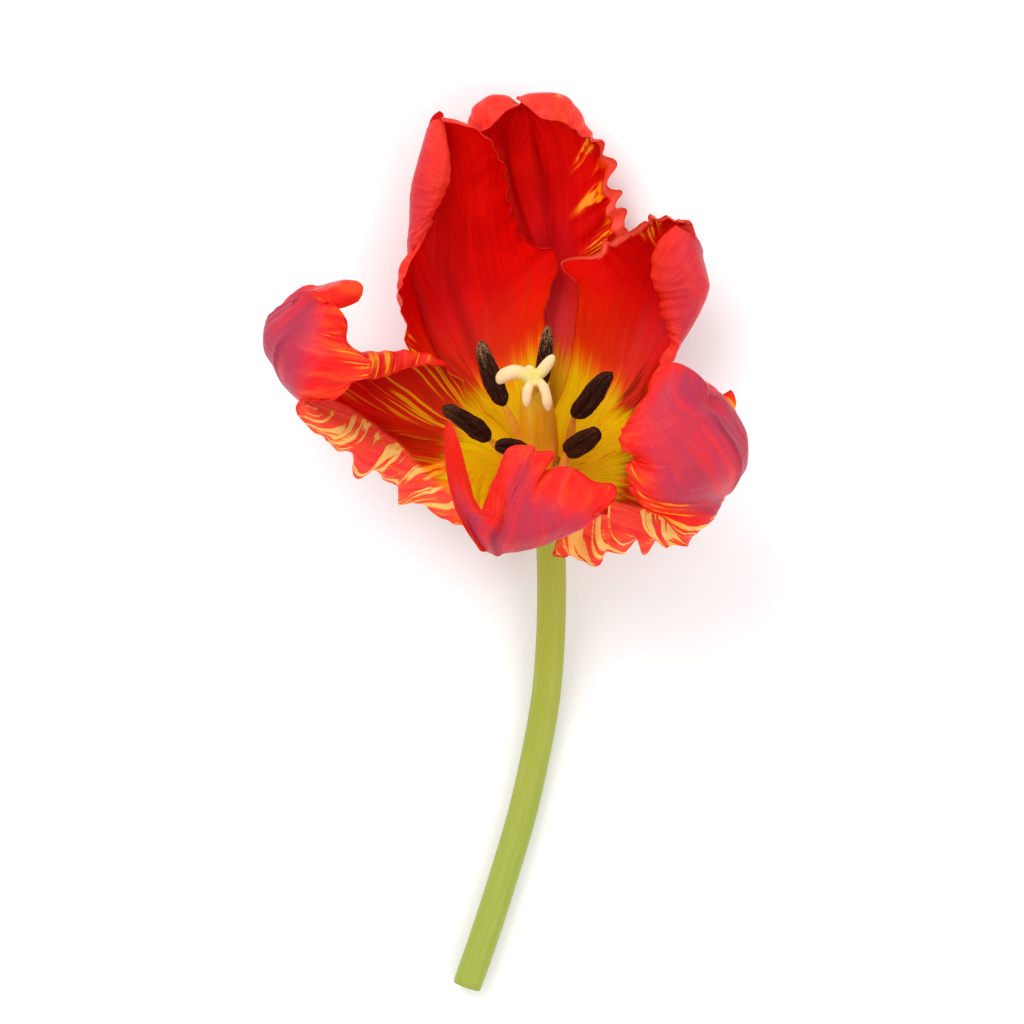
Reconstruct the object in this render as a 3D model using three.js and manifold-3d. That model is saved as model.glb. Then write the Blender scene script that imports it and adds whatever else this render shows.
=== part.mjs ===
// Parrot tulip: one cut flower lying on its side, its stem curved and its bloom wide open.
//
// Millimetres. The flower lies on the plane z = 0. +Y runs from the cut end of the stem to the
// bloom, +X is to the right of it and +Z is up. The origin is the middle of its footprint.
//
// Every petal is a thin sheet swept along its midrib: ribs leave the midrib to the left and to the
// right, and they turn forward near the tip, so that the margin runs round it in one line.

import * as THREE from 'three';
import Module from 'manifold-3d';
import { mergeVertices } from 'three/addons/utils/BufferGeometryUtils.js';

const wasm = await Module();
wasm.setup();

// ---------------------------------------------------------------------------------------------
// Driving dimensions
// ---------------------------------------------------------------------------------------------

const GAP = 0.3; // clear space between two neighbouring pieces

const STEM_RADIUS = 2.95;
const STEM_SIDES = 16;
const STEM_STEPS = 26;
// The centre line of the stem, from the cut end to the bloom.
const STEM_LINE = [
  [-9.25, -96.6, 3.0],
  [-5.4, -85.6, 3.0],
  [-1.55, -73.6, 3.0],
  [2.0, -61.6, 3.0],
  [4.75, -49.6, 3.1],
  [6.85, -37.6, 4.4],
  [7.8, -25.6, 7.0],
  [8.0, -13.6, 10.2],
  [7.6, -2.0, 14.6],
  [7.2, 5.8, 19.2],
];

const RECEPTACLE = new THREE.Vector3(7.2, 6.8, 20); // the middle of the ring that the petals leave
const BLOOM_AXIS = new THREE.Vector3(-0.09, 0.76, 0.64).normalize();
const RECEPTACLE_CROWN = 0.5; // how far its top stands over its middle
// The outline of the receptacle, as [radius, height over its middle], from the stem to its top.
const RECEPTACLE_OUTLINE = [
  [0, -9],
  [2.45, -9],
  [3.05, -6],
  [4.7, -2.4],
  [4.95, -1],
  [4.45, 0.1],
  [0, RECEPTACLE_CROWN],
];
const FOOTPRINT_CENTRE = new THREE.Vector3(-1.46, -6.44, 0);

const PETAL_THICKNESS = 0.6;
const PETAL_ROWS = 24; // from the base to the tip
const PETAL_COLUMNS = 7; // from the midrib to the margin
const TIP_CROWDING = 0.35; // how much closer the rows lie at the tip than at the base
const FIRST_RIB_ANGLE = 12; // degrees that a rib at the base leans forward
const FRAME_STEPS = 240; // steps along a midrib in which its normal is carried

const PISTIL_ASIDE = -0.7; // how far the pistil stands off the middle of the receptacle, along X
const OVARY_HEIGHT = 23;
const OVARY_SIDES = 18;
const OVARY_SWELL = 0.07; // the share of its radius by which its three lobes stand out and in
// The outline of the ovary, as [radius, height], from its foot to its top.
const OVARY_OUTLINE = [
  [0, 0],
  [1.6, 0],
  [1.9, 1.15],
  [2.75, 3.2],
  [3.5, 6.9],
  [3.63, 13.8],
  [3.1, 19.5],
  [2.6, 22.3],
  [0, OVARY_HEIGHT],
];

const STIGMA_SIDES = 10;
const STIGMA_STEPS = 7;
// The fingers of the stigma: the radius of each and the points that it passes, from the middle of
// the top of the ovary, with the pistil standing along +Y.
const STIGMA_FINGERS = [
  {
    radius: 1.3,
    line: [[0, -1.5, 0], [-0.7, 1, -0.8], [-3, 2.3, -1.8], [-5.6, 1.9, -1.6], [-6.8, 1, -1.1]],
  },
  { radius: 0.95, line: [[0, -1.5, 0], [-0.1, 1.2, -1.2], [-0.8, 2.3, -2.7]] },
  { radius: 1.05, line: [[0, -1.5, 0], [0.5, 0.8, -0.8], [2.4, 2.3, -2.4], [4.1, 3.4, -4.1]] },
  { radius: 0.9, line: [[0, -1.5, 0], [-0.4, 1.5, 1.2], [-1.3, 1.3, 3.2], [-1.7, -0.9, 4.8]] },
  { radius: 0.95, line: [[0, -1.5, 0], [1.1, 1.7, 1.4], [2.2, 1.3, 4], [2.4, -1.8, 5.6]] },
];

const ANTHER_RADIUS = 2.0;
const ANTHER_SIDES = 12;
const ANTHER_GROOVE = 0.22; // the depth of its two grooves, as a share of its radius
// The outline of an anther, as [share of its radius, share of its length].
const ANTHER_OUTLINE = [
  [0, 0],
  [0.55, 0.03],
  [0.86, 0.12],
  [1, 0.3],
  [1, 0.55],
  [0.92, 0.75],
  [0.72, 0.9],
  [0.4, 0.97],
  [0, 1],
];

const FILAMENT_ROOT_RADIUS = 0.8;
const FILAMENT_RADIUS = 0.95;
const FILAMENT_TIP_RADIUS = 0.55;
const FILAMENT_TIP_LENGTH = 0.5;
const FILAMENT_SIDES = 8;
const FILAMENT_RING = 3.35; // the distance of a filament's root from the axis of the bloom
const FILAMENT_RISE = 0.95; // and its height over the middle of the receptacle

const PETAL_RED = 0xd0101a;
const STEM_GREEN = 0xa3ab3c;
const PISTIL_YELLOW = 0xe0b050;
const FILAMENT_ORANGE = 0xd98a2b;
const ANTHER_BROWN = 0x33201a;

// Petals. All lists are evenly spaced stations from the base (first) to the tip (last).
//   path   the midrib, in millimetres from the receptacle
//   twist  degrees that the sheet turns about the midrib
//   keel   degrees that both halves rise at the midrib
//   fan    how late the ribs turn forward: the higher, the nearer to the tip
//   pulls  where the sheet is pulled out of that shape, as [how far out on the right (1) or on the
//          left (-1), where along the midrib, half its span outwards, half its span along the
//          midrib, x, y, z in millimetres]
// and for each half:
//   width  the length of the rib, in millimetres
//   cup    degrees that the rib bends inwards, evenly
//   curl   more degrees, near the margin only; negative where the margin is turned outwards
//   from   the share of the rib at which the curl starts
//   lean   the share of its width that the margin is swept forward
//   teeth  [where along the midrib, millimetres of reach, half the span along the midrib]
const PETALS = {
  petal_upper: {
    path: [
      [0, 3.2, -3.8], [0.8, 11, -11.3], [1.4, 23, -17], [1.4, 36, -19.2], [0.4, 48.5, -19],
      [-1.2, 60.5, -16.8], [-3.4, 70, -12],
    ],
    twist: [0, 2, 3, 3, 0],
    keel: [0, 0, 0, 4, 8],
    fan: 3.2,
    pulls: [
      [-1, 0.67, 0.35, 0.07, 0, 0, -0.5], [-0.65, 0.92, 0.35, 0.06, 0.6, 3.1, 0],
      [-0.65, 0.84, 0.35, 0.06, -0.1, 0.7, 0], [0.65, 0.88, 0.35, 0.06, -1.7, 0.9, 0],
      [0.6, 0.96, 0.35, 0.06, 0.1, 1.9, 0], [-1, 0.95, 0.35, 0.06, -0.5, -0.7, 0],
      [-1, 0.9, 0.35, 0.06, 0.4, -0.6, 0], [-1, 0.85, 0.35, 0.06, -0.3, -0.3, 0],
      [-1, 0.8, 0.35, 0.06, 0.2, 1.7, 0], [0, 1, 0.35, 0.06, 0, 0.5, 0],
      [1, 1, 0.35, 0.06, -1.4, 1.3, 0], [1, 0.95, 0.35, 0.06, 0.4, -1.5, 0],
      [1, 0.9, 0.35, 0.06, -0.8, -1.6, 0], [1, 0.85, 0.35, 0.06, 0.8, 1.5, 0],
      [1, 0.8, 0.35, 0.06, -1.2, -2.4, 0], [1, 0.75, 0.35, 0.06, 1.4, 4.2, 0],
      [1, 0.7, 0.35, 0.06, -0.4, -0.9, 0], [1, 0.65, 0.35, 0.06, -0.4, -0.1, 0],
      [1, 0.6, 0.35, 0.06, -0.4, 1.7, 0], [1, 0.5, 0.35, 0.06, 0, -0.1, 0],
      [-1, 0.7, 0.35, 0.06, 0, -0.1, 0], [-0.65, 0.85, 0.35, 0.06, -0.1, 0.7, 0],
      [0.6, 0.95, 0.35, 0.06, -0.1, 1.3, 0], [0, 0.95, 0.35, 0.06, 0, -0.1, 0],
    ],
    left: {
      width: [2.1, 8.5, 10.5, 11, 12, 13.5, 22, 24.5, 9],
      cup: [10, 10, 6, 6, 20],
      curl: [0, 0, 0, 0, 0, 10, 60, 140, 20],
      from: [0.5, 0.5, 0.65],
    },
    right: {
      width: [2.1, 8.5, 11, 12, 15, 18, 20, 25, 9],
      cup: [10, 15, 10, 15, 20],
      curl: [0, 0, 0, 0, 0, 25, 70, 140, 20],
      from: [0.5, 0.5, 0.65],
    },
  },
  petal_upper_left: {
    path: [
      [-3.1, 2.85, -2.75], [-9.6, 12.5, -9.9], [-16.6, 23.5, -16.6], [-22, 36.5, -19.3],
      [-25, 49.6, -17.6], [-25, 66, -10],
    ],
    keel: [0, 6, 10, 15],
    fan: 4,
    pulls: [
      [-1, 1, 0.35, 0.06, 0.5, 4.2, 0], [1, 0.95, 0.35, 0.06, 1, 1.7, 0],
      [1, 0.9, 0.35, 0.06, 1.2, 1.4, 0], [1, 0.85, 0.35, 0.06, -1, 1.1, 0],
      [1, 0.8, 0.35, 0.06, 0.9, 1.6, 0], [1, 0.75, 0.35, 0.06, -0.7, 0.5, 0],
      [1, 0.7, 0.35, 0.06, -0.3, 0.8, 0], [1, 0.65, 0.35, 0.06, -1.8, -0.4, 0],
      [1, 0.6, 0.35, 0.06, -0.4, 0.2, 0], [1, 0.55, 0.35, 0.06, -1.7, -0.8, 0],
      [1, 0.5, 0.35, 0.06, 2.4, 2.7, 0], [1, 0.45, 0.35, 0.06, 0.2, -0.4, 0],
      [1, 0.4, 0.35, 0.06, 0, -0.6, 0], [-0.6, 0.5, 0.35, 0.06, 0.7, -0.6, 0],
      [-0.6, 0.6, 0.35, 0.06, 2.2, -0.5, 0], [-0.6, 0.7, 0.35, 0.06, 2, -1.6, 0],
      [-0.6, 0.8, 0.35, 0.06, 1.5, -1.8, 0], [-0.6, 0.9, 0.35, 0.06, -0.4, -1.6, 0],
      [-1, 0.95, 0.35, 0.06, 1.4, 2.2, 0], [-1, 0.9, 0.35, 0.06, 2.2, 2.9, 0],
      [-1, 0.85, 0.35, 0.06, 1.9, 3.3, 0], [-1, 0.8, 0.35, 0.06, 1.3, 3.7, 0],
      [-1, 0.75, 0.35, 0.06, 0, 3.4, 0], [-1, 0.7, 0.35, 0.06, 0.5, 4.1, 0],
      [-1, 0.65, 0.35, 0.06, -3, 0.9, 0], [-1, 0.6, 0.35, 0.06, -0.6, 0.5, 0],
      [-1, 0.55, 0.35, 0.06, -0.7, 2.3, 0], [-1, 0.5, 0.35, 0.06, 1.6, 0.5, 0],
      [-1, 0.45, 0.35, 0.06, -0.1, 1.2, 0], [-1, 0.4, 0.35, 0.06, 0.4, -0.2, 0],
      [0, 0.75, 0.35, 0.06, -0.1, 0.1, 0], [0, 0.55, 0.35, 0.06, -0.1, 0, 0],
    ],
    left: {
      width: [2.1, 6, 9, 12, 16, 20, 21, 19, 13],
      cup: [10, 10, 30, 90, 40],
      curl: [0, 0, 30, 130, 110],
      from: [0.5, 0.45, 0.45],
    },
    right: {
      width: [2.1, 10, 16, 21, 25, 24, 22.5, 22, 13],
      cup: [25, 43, 45, 37, 40],
      curl: [0, 0, 0, 20, 60],
      from: [0.5, 0.6, 0.7],
    },
  },
  petal_upper_right: {
    path: [
      [3.5, 3.1, -2], [9, 9.5, -7], [17, 18.5, -11.3], [25, 29, -12.2], [30, 39, -9], [30.5, 46, -1.5],
    ],
    twist: [0, 8, 14, 14, 8],
    keel: [0, 6, 10, 15],
    fan: 4,
    pulls: [
      [0.9, 0.07, 0.5, 0.09, 0, -2.4, -0.2], [-1, 0.6, 0.35, 0.06, 1, -0.3, 0],
      [-1, 0.65, 0.35, 0.06, -0.2, 0.2, 0], [-1, 0.7, 0.35, 0.06, 2.1, -0.9, 0],
      [-1, 0.75, 0.35, 0.06, 1.5, 0.1, 0], [-1, 0.8, 0.35, 0.06, 1.5, -0.5, 0],
      [-1, 0.85, 0.35, 0.06, 1.5, 1.7, 0], [-1, 0.9, 0.35, 0.06, 3, 0.8, 0],
      [-1, 0.95, 0.35, 0.06, 1, 0.6, 0], [1, 1, 0.35, 0.06, 1.9, 4.4, 0],
      [1, 0.95, 0.35, 0.06, -3.7, 2.4, 0], [1, 0.9, 0.35, 0.06, -1.8, 2.6, 0],
      [1, 0.85, 0.35, 0.06, -3.7, 1.2, 0], [1, 0.8, 0.35, 0.06, -1.7, -0.2, 0],
      [1, 0.75, 0.35, 0.06, -1.8, -0.4, 0], [1, 0.7, 0.35, 0.06, -1.9, -0.3, 0],
      [1, 0.65, 0.35, 0.06, 0.5, -0.5, 0], [1, 0.6, 0.35, 0.06, 0.2, 0.3, 0],
      [1, 0.55, 0.35, 0.06, 1.6, -0.6, 0], [-1, 0.5, 0.35, 0.06, -0.1, 0, 0],
      [0.45, 0.78, 0.35, 0.07, -0.4, 0, 0], [0.45, 0.7, 0.35, 0.07, -1.4, 0, 0],
      [0.5, 0.62, 0.35, 0.07, -2.4, 0, 0], [0.5, 0.54, 0.35, 0.07, -3.1, 0, 0],
      [0.5, 0.46, 0.35, 0.07, -3.4, 0, 0], [0.6, 0.38, 0.35, 0.07, -1.7, 0, 0],
      [0, 0.6, 0.35, 0.07, -0.5, 0, 0], [0, 0.7, 0.35, 0.07, -0.1, 0, 0],
      [-0.3, 0.98, 0.35, 0.07, 0.4, -1.5, 0], [1, 0.5, 0.35, 0.07, 0.6, 0, 0],
      [1, 0.6, 0.35, 0.07, 0.4, 0, 0], [1, 0.7, 0.35, 0.07, 0.2, 0, 0], [0, 0.4, 0.35, 0.07, 0.3, 0, 0],
      [-1, 0.53, 0.3, 0.03, -5, 1.5, 1], [-1, 0.47, 0.3, 0.03, 0.1, 0, 0],
    ],
    left: {
      width: [2.1, 8, 11, 16, 22, 24, 22, 17, 12],
      cup: [25, 35, 30, 30, 20],
      curl: [0, 0, 0, 10, 10],
      from: [0.5, 0.6, 0.7],
    },
    right: {
      width: [2.1, 11, 15, 18, 21, 21, 13],
      cup: [10, 35, 70, 110, 60],
      curl: [0, 0, 90, 130, 120],
      from: [0.5, 0.4, 0.3, 0.4],
    },
  },
  petal_left: {
    path: [
      [-4.9, 1.4, -0.5], [-14, 6.5, -2.5], [-27, 10, -4], [-39, 14, -1], [-49.5, 19.5, 6],
      [-54, 27, 15], [-49.5, 34.5, 23],
    ],
    twist: [0, -10, -8, 0],
    keel: [0, 5, 5],
    fan: 4,
    pulls: [
      [-1, 0.9, 0.35, 0.06, 0.4, -0.2, 0], [-1, 0.85, 0.35, 0.06, 0.1, -0.9, 0],
      [-1, 0.8, 0.35, 0.06, 2.1, -1.5, 0], [-1, 0.75, 0.35, 0.06, 0.8, -2.4, 0],
      [-1, 0.7, 0.35, 0.06, 2.3, -2.8, 0], [-1, 0.65, 0.35, 0.06, -2.8, 4.2, 0],
      [-1, 0.6, 0.35, 0.06, 2.7, 2.2, 0], [-1, 0.55, 0.35, 0.06, -1.5, 2.4, 0],
      [-1, 0.5, 0.35, 0.06, 1.2, -0.7, 0], [-1, 0.45, 0.35, 0.06, -0.1, 3.2, 0],
      [-1, 0.4, 0.35, 0.06, -0.7, -3.1, 0], [-1, 0.35, 0.35, 0.06, 1.1, 3.9, 0],
      [-1, 0.3, 0.35, 0.06, 0, 0.6, 0], [-1, 0.25, 0.35, 0.06, -0.7, 1.5, 0],
      [-1, 0.2, 0.35, 0.06, 0.7, 1.6, 0], [-1, 0.15, 0.35, 0.06, 1.7, 0.5, 0],
      [-1, 0.1, 0.35, 0.06, 4.7, -1.5, 0], [-1, 0.05, 0.35, 0.06, -1.4, -4.9, 0],
      [0, 0.8, 0.35, 0.06, -1.9, 0, 0], [0, 0.88, 0.35, 0.06, -1.6, 0, 0],
      [0, 0.7, 0.35, 0.06, -0.4, 0, 0], [0.6, 0.97, 0.35, 0.06, 2.2, 0, 0],
      [0.75, 0.58, 0.35, 0.06, -0.3, -2.1, 0], [0.75, 0.51, 0.35, 0.06, 0.1, -1.8, 0],
      [0.8, 0.44, 0.35, 0.06, 0, 0.5, 0], [0.85, 0.37, 0.35, 0.06, 1.1, 2.4, 0],
      [0.9, 0.3, 0.35, 0.06, 1.6, 2.9, 0], [0.9, 0.23, 0.35, 0.06, 0.6, 1.1, 0],
      [0.9, 0.16, 0.35, 0.06, -0.2, -0.3, 0], [0.8, 0.97, 0.35, 0.06, 2.2, 0.4, 0],
      [0.8, 0.9, 0.35, 0.06, 0.6, -0.1, 0], [-0.5, 0.97, 0.35, 0.06, 0.6, 0, 0],
      [-1, 0.75, 0.3, 0.04, 0.3, 1.6, 0], [-1, 0.8, 0.3, 0.04, 2.7, -1.7, 0],
      [-1, 0.85, 0.3, 0.04, 4, -1, 0], [-1, 0.9, 0.3, 0.04, -1.1, -1, 0],
      [-1, 0.95, 0.3, 0.04, -0.3, -0.3, 0], [-1, 1, 0.3, 0.04, -2.3, -3.4, 0],
      [1, 1, 0.3, 0.04, -3.9, -3.9, 0], [-0.6, 1, 0.3, 0.04, -1, -1.9, 0],
      [0.6, 1, 0.3, 0.04, -3.6, -2.3, 0], [0.6, 0.95, 0.3, 0.04, 1.3, 0.8, 0],
      [1, 0.95, 0.3, 0.04, 1.5, 0.3, 0], [0.6, 0.9, 0.3, 0.04, 1, 0.4, 0],
      [1, 0.5, 0.3, 0.04, 0, -1.7, 0.2], [1, 0.45, 0.3, 0.04, 0, -1.2, 0.2],
      [1, 0.55, 0.3, 0.04, 0, -2.2, 0.3], [1, 0.4, 0.3, 0.04, 0, -0.2, 0],
      [-1, 0.65, 0.3, 0.04, 0, 0.1, 0], [-1, 0.7, 0.3, 0.04, -0.1, -0.3, 0],
      [0, 1, 0.3, 0.04, 0.1, 0.1, 0], [1, 0.6, 0.3, 0.04, 0, 0.5, -0.1],
      [0.6, 0.5, 0.3, 0.04, 0, 0.4, 0], [0.6, 0.45, 0.3, 0.04, 0, 0.2, 0],
    ],
    left: {
      width: [2.1, 21, 23, 19, 16, 17, 24, 20, 13],
      cup: [20, 50, 60, 60, 60],
      curl: [0, -90, -150, -170, -140, 40, 60, 60],
      from: [0.35, 0.35, 0.35, 0.45],
    },
    right: {
      width: [2.1, 7.5, 15, 21, 22, 19, 13],
      cup: [30, 60, 60, 60, 60],
      curl: [0, 30, 130, 160, 120, 60],
    },
  },
  petal_right: {
    path: [
      [4.2, -0.4, 2.9], [12, -1.5, 6], [23, -3.5, 10.5], [33, -3, 16], [38.5, 2.5, 25], [37.5, 11, 32],
      [31, 18, 36],
    ],
    keel: [0, 5, 5],
    fan: 4,
    pulls: [
      [-1, 0.55, 0.3, 0.02, 3.4, -0.4, 0], [-1, 0.6, 0.2, 0.014, 3, 1, 0],
      [-0.8, 0.9, 0.25, 0.09, -0.5, -0.9, 0], [0.65, 0.47, 0.3, 0.05, 2.9, -1.6, 0],
      [1, 0.98, 0.3, 0.03, -1.5, -0.3, 0], [0.8, 0.1, 0.5, 0.06, 0, 0, -2.5],
      [-0.4, 0.95, 0.35, 0.06, -2.1, -1.9, 0], [0, 0.92, 0.35, 0.06, -2.1, -0.6, 0],
      [0, 0.8, 0.35, 0.06, -1.5, 0, 0], [0, 0.5, 0.35, 0.06, 0.5, 0, 0],
      [0.4, 0.5, 0.35, 0.06, 2, 0, 0], [1, 0.95, 0.35, 0.06, 1, -0.2, 0],
      [1, 0.9, 0.35, 0.06, -1.3, 0.8, 0], [1, 0.85, 0.35, 0.06, -1.1, -1.2, 0],
      [1, 0.8, 0.35, 0.06, -0.5, -1.8, 0], [1, 0.75, 0.35, 0.06, -1.7, -2.2, 0],
      [1, 0.7, 0.35, 0.06, 3.9, -1.7, 0], [1, 0.65, 0.35, 0.06, -4, -1.8, 0],
      [1, 0.6, 0.35, 0.06, 2, -3.6, 0], [1, 0.55, 0.35, 0.06, -5.5, 0, 0],
      [1, 0.5, 0.35, 0.06, 2.4, -1, 0], [1, 0.45, 0.35, 0.06, -3.1, 1.8, 0],
      [1, 0.4, 0.35, 0.06, -0.7, 1.4, 0], [1, 0.35, 0.35, 0.06, -1.4, 0.4, 0],
      [1, 0.3, 0.35, 0.06, 0.5, 0, 0], [1, 0.25, 0.35, 0.06, 0.1, 1.3, 0],
      [1, 0.2, 0.35, 0.06, -0.5, 0.2, 0], [1, 0.15, 0.35, 0.06, -0.1, -8.2, 0],
      [1, 0.1, 0.35, 0.06, -6, 8.6, 0], [1, 0.05, 0.35, 0.06, 2.9, -8.5, 0],
      [-0.6, 0.5, 0.35, 0.07, -0.7, -0.5, 0], [-0.6, 0.58, 0.35, 0.07, -1.6, -1, 0],
      [-0.6, 0.66, 0.35, 0.07, -1.9, -1.4, 0], [-0.6, 0.74, 0.35, 0.07, -2.2, -1.7, 0],
      [-0.6, 0.83, 0.35, 0.07, -2, -1.7, 0], [-0.5, 0.92, 0.35, 0.07, -0.7, -1.1, 0],
      [0, 0.8, 0.35, 0.07, -0.5, 0.2, 0], [0, 0.88, 0.35, 0.07, -1.3, -0.4, 0],
      [-1, 0.6, 0.35, 0.07, -0.3, -0.1, 0], [-1, 0.75, 0.35, 0.07, -0.2, 0.1, 0],
      [0, 0.5, 0.35, 0.07, 0.1, 0, 0], [0, 0.6, 0.35, 0.07, 0.1, 0.1, 0],
      [0, 0.7, 0.35, 0.07, 0.2, 0.1, 0],
    ],
    left: {
      width: [2.1, 9, 15, 19, 19, 17, 13],
      cup: [30, 50, 50, 60, 60],
      curl: [0, 30, 40, 50, 60],
      from: [0.5, 0.45],
    },
    right: {
      width: [2.1, 12, 18, 19, 19, 31, 32, 25, 13],
      cup: [10, 30, 50, 70, 60],
      curl: [0, -90, -150, -130, 40, 60, 60, 60],
      from: [0.35, 0.35, 0.35, 0.45],
      teeth: [[0.1, 10, 0.035]],
    },
  },
  petal_front: {
    path: [
      [-1.75, -2.8, 3.75], [-4.2, -7.8, 9], [-7.5, -12.7, 16], [-9.5, -15.3, 23], [-9.5, -12, 30.5],
      [-8, -5.5, 34.5], [-5.5, 0.5, 35.5],
    ],
    keel: [0, 0],
    fan: 4,
    pulls: [
      [1, 1, 0.4, 0.03, 0, -1.4, 0], [-1, 1, 0.4, 0.03, 0, -1.4, 0],
      [-0.9, 0.13, 0.5, 0.08, -0.6, 0, 1], [-1, 0.35, 0.7, 0.15, 0, 7, 0],
      [1, 0.45, 0.5, 0.08, 3, 0, 0], [1, 0.6, 0.35, 0.06, 2, -4.4, 0],
      [1, 0.62, 0.35, 0.06, -2.2, 9.5, 0], [1, 0.65, 0.35, 0.06, 2, -5.8, 0],
      [1, 0.7, 0.35, 0.06, -1.2, 3.4, 0], [1, 0.75, 0.35, 0.06, -1.7, -2, 0],
      [1, 0.8, 0.35, 0.06, -1.5, 1.5, 0], [1, 0.85, 0.35, 0.06, 1.4, 0.1, 0],
      [1, 0.9, 0.35, 0.06, -0.7, 1, 0], [1, 0.95, 0.35, 0.06, -0.5, -0.2, 0],
      [-1, 1, 0.35, 0.06, -0.8, -1, 0], [-1, 0.95, 0.35, 0.06, 0.2, -0.9, 0],
      [-1, 0.9, 0.35, 0.06, 3.6, 3.2, 0], [-1, 0.85, 0.35, 0.06, -5.2, -3.8, 0],
      [-1, 0.8, 0.35, 0.06, -0.4, 1.6, 0], [-1, 0.75, 0.35, 0.06, -0.9, 0.7, 0],
      [-1, 0.7, 0.35, 0.06, -0.4, 1.9, 0], [-1, 0.65, 0.35, 0.06, -2, -2.5, 0],
      [-1, 0.6, 0.35, 0.06, 0.6, 2, 0], [-1, 0.55, 0.35, 0.06, 0, -1.1, 0],
      [-1, 0.5, 0.35, 0.06, -0.4, 0.8, 0], [-1, 0.45, 0.35, 0.06, -2.5, 1.1, 0],
      [-0.5, 0.45, 0.35, 0.06, 0.3, 2.5, 0], [-0.5, 0.55, 0.35, 0.06, 0, 1.3, 0],
      [0.6, 0.55, 0.35, 0.06, 0.9, 0, 0], [1, 0.5, 0.35, 0.06, 0.8, 0.1, 0],
      [0, 0.5, 0.35, 0.06, 0, -0.2, 0],
    ],
    left: {
      width: [2.1, 12, 19, 24, 26, 23, 15, 11, 9],
      cup: [10, 25, 30, 35, 40],
      curl: [0, 0, 10, 20, 60],
      lean: [0, 0, 0, 0.1, 0.3, 0.4, 0.2, 0, 0],
    },
    right: {
      width: [2.1, 6, 7, 7, 9, 17, 3, 8, 9],
      cup: [10, 30, 40, 50, 40],
      curl: [0, 0, 20, 30, 60],
      lean: [0, 0, 0, 0.5, 1, 1.3, 0, 0, 0],
    },
  },
};

// Stamens: where each anther starts and ends, in millimetres from the receptacle, and how thick it
// is as a share of the usual.
const STAMENS = {
  upper_left: { foot: [-8.6, 14, 2.5], top: [-13.6, 27.6, 5.5], girth: 1 },
  upper: { foot: [-1.8, 16.5, 2.0], top: [0, 30.6, 5], girth: 0.8 },
  upper_right: { foot: [4.8, 11.8, 9.6], top: [11.2, 21.6, 19], girth: 1.1 },
  right: { foot: [3.4, 5, 9.4], top: [10, 9.2, 22.2], girth: 1.1 },
  front: { foot: [-4.0, 4.4, 12.0], top: [-10.5, 6.2, 23.5], girth: 1 },
  left: { foot: [-11.4, 7.4, 8.5], top: [-21, 14, 18], girth: 1 },
};

// ---------------------------------------------------------------------------------------------
// Helpers
// ---------------------------------------------------------------------------------------------

const radians = THREE.MathUtils.degToRad;
const smoothstep = THREE.MathUtils.smoothstep;
const vector = (values) => new THREE.Vector3(...values);

// The value at t (0 to 1) of a spline through evenly spaced stations.
function along(stations, t) {
  const last = stations.length - 1;
  const place = THREE.MathUtils.clamp(t, 0, 1) * last;
  const i = Math.min(Math.floor(place), last - 1);
  const f = place - i;
  const b = stations[i];
  const c = stations[i + 1];
  const a = i > 0 ? stations[i - 1] : 2 * b - c;
  const d = i + 2 <= last ? stations[i + 2] : 2 * c - b;
  return b + 0.5 * f * (c - a + f * (2 * a - 5 * b + 4 * c - d + f * (3 * (b - c) + d - a)));
}

// A closed geometry as a solid that can be joined to another.
function solid(geometry) {
  const bare = new THREE.BufferGeometry();
  bare.setAttribute('position', geometry.getAttribute('position'));
  bare.setIndex(geometry.getIndex());
  const merged = mergeVertices(bare, 1e-4);
  return new wasm.Manifold(
    new wasm.Mesh({
      numProp: 3,
      vertProperties: merged.getAttribute('position').array,
      triVerts: new Uint32Array(merged.getIndex().array),
    }),
  );
}

// Closed geometries joined into one.
function join(geometries) {
  const mesh = geometries.map(solid).reduce((whole, piece) => whole.add(piece)).getMesh();
  const joined = new THREE.BufferGeometry();
  joined.setAttribute('position', new THREE.BufferAttribute(mesh.vertProperties, 3));
  joined.setIndex(new THREE.BufferAttribute(mesh.triVerts, 1));
  joined.computeVertexNormals();
  return joined;
}

function named(name, geometry, material) {
  const mesh = new THREE.Mesh(geometry, material);
  mesh.name = name;
  return mesh;
}

// Turns an object whose length runs along +Y so that it points the given way.
function point(object, direction) {
  object.quaternion.setFromUnitVectors(new THREE.Vector3(0, 1, 0), direction.clone().normalize());
  return object;
}

function matter(color, roughness) {
  return new THREE.MeshStandardMaterial({ color, roughness, metalness: 0 });
}

function disc(radius) {
  const shape = new THREE.Shape();
  shape.absarc(0, 0, radius, 0, 2 * Math.PI);
  return shape;
}

// A body turned about +Y from an outline of [radius, height].
function turned(outline, sides) {
  return new THREE.LatheGeometry(outline.map(([r, y]) => new THREE.Vector2(r, y)), sides);
}

// A turned body with its radius scaled by a function of the angle about +Y.
function lobed(geometry, scaleAt) {
  const places = geometry.getAttribute('position');
  for (let v = 0; v < places.count; v++) {
    const scale = scaleAt(Math.atan2(places.getX(v), places.getZ(v)));
    places.setX(v, places.getX(v) * scale);
    places.setZ(v, places.getZ(v) * scale);
  }
  return geometry;
}

// ---------------------------------------------------------------------------------------------
// Petals
// ---------------------------------------------------------------------------------------------

// The frame of the midrib at each of FRAME_STEPS + 1 places: its point, its forward direction and
// its inward normal, which starts along the axis of the bloom and is carried without turning.
function midribFrames(petal) {
  const curve = new THREE.CatmullRomCurve3(petal.path.map(vector), false, 'catmullrom', 0.5);
  const normal = BLOOM_AXIS.clone();
  const frames = [];
  for (let k = 0; k <= FRAME_STEPS; k++) {
    const point = curve.getPoint(k / FRAME_STEPS);
    const forward = curve.getTangent(k / FRAME_STEPS);
    normal.addScaledVector(forward, -normal.dot(forward)).normalize();
    frames.push({ point, forward, normal: normal.clone() });
  }
  return frames;
}

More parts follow.
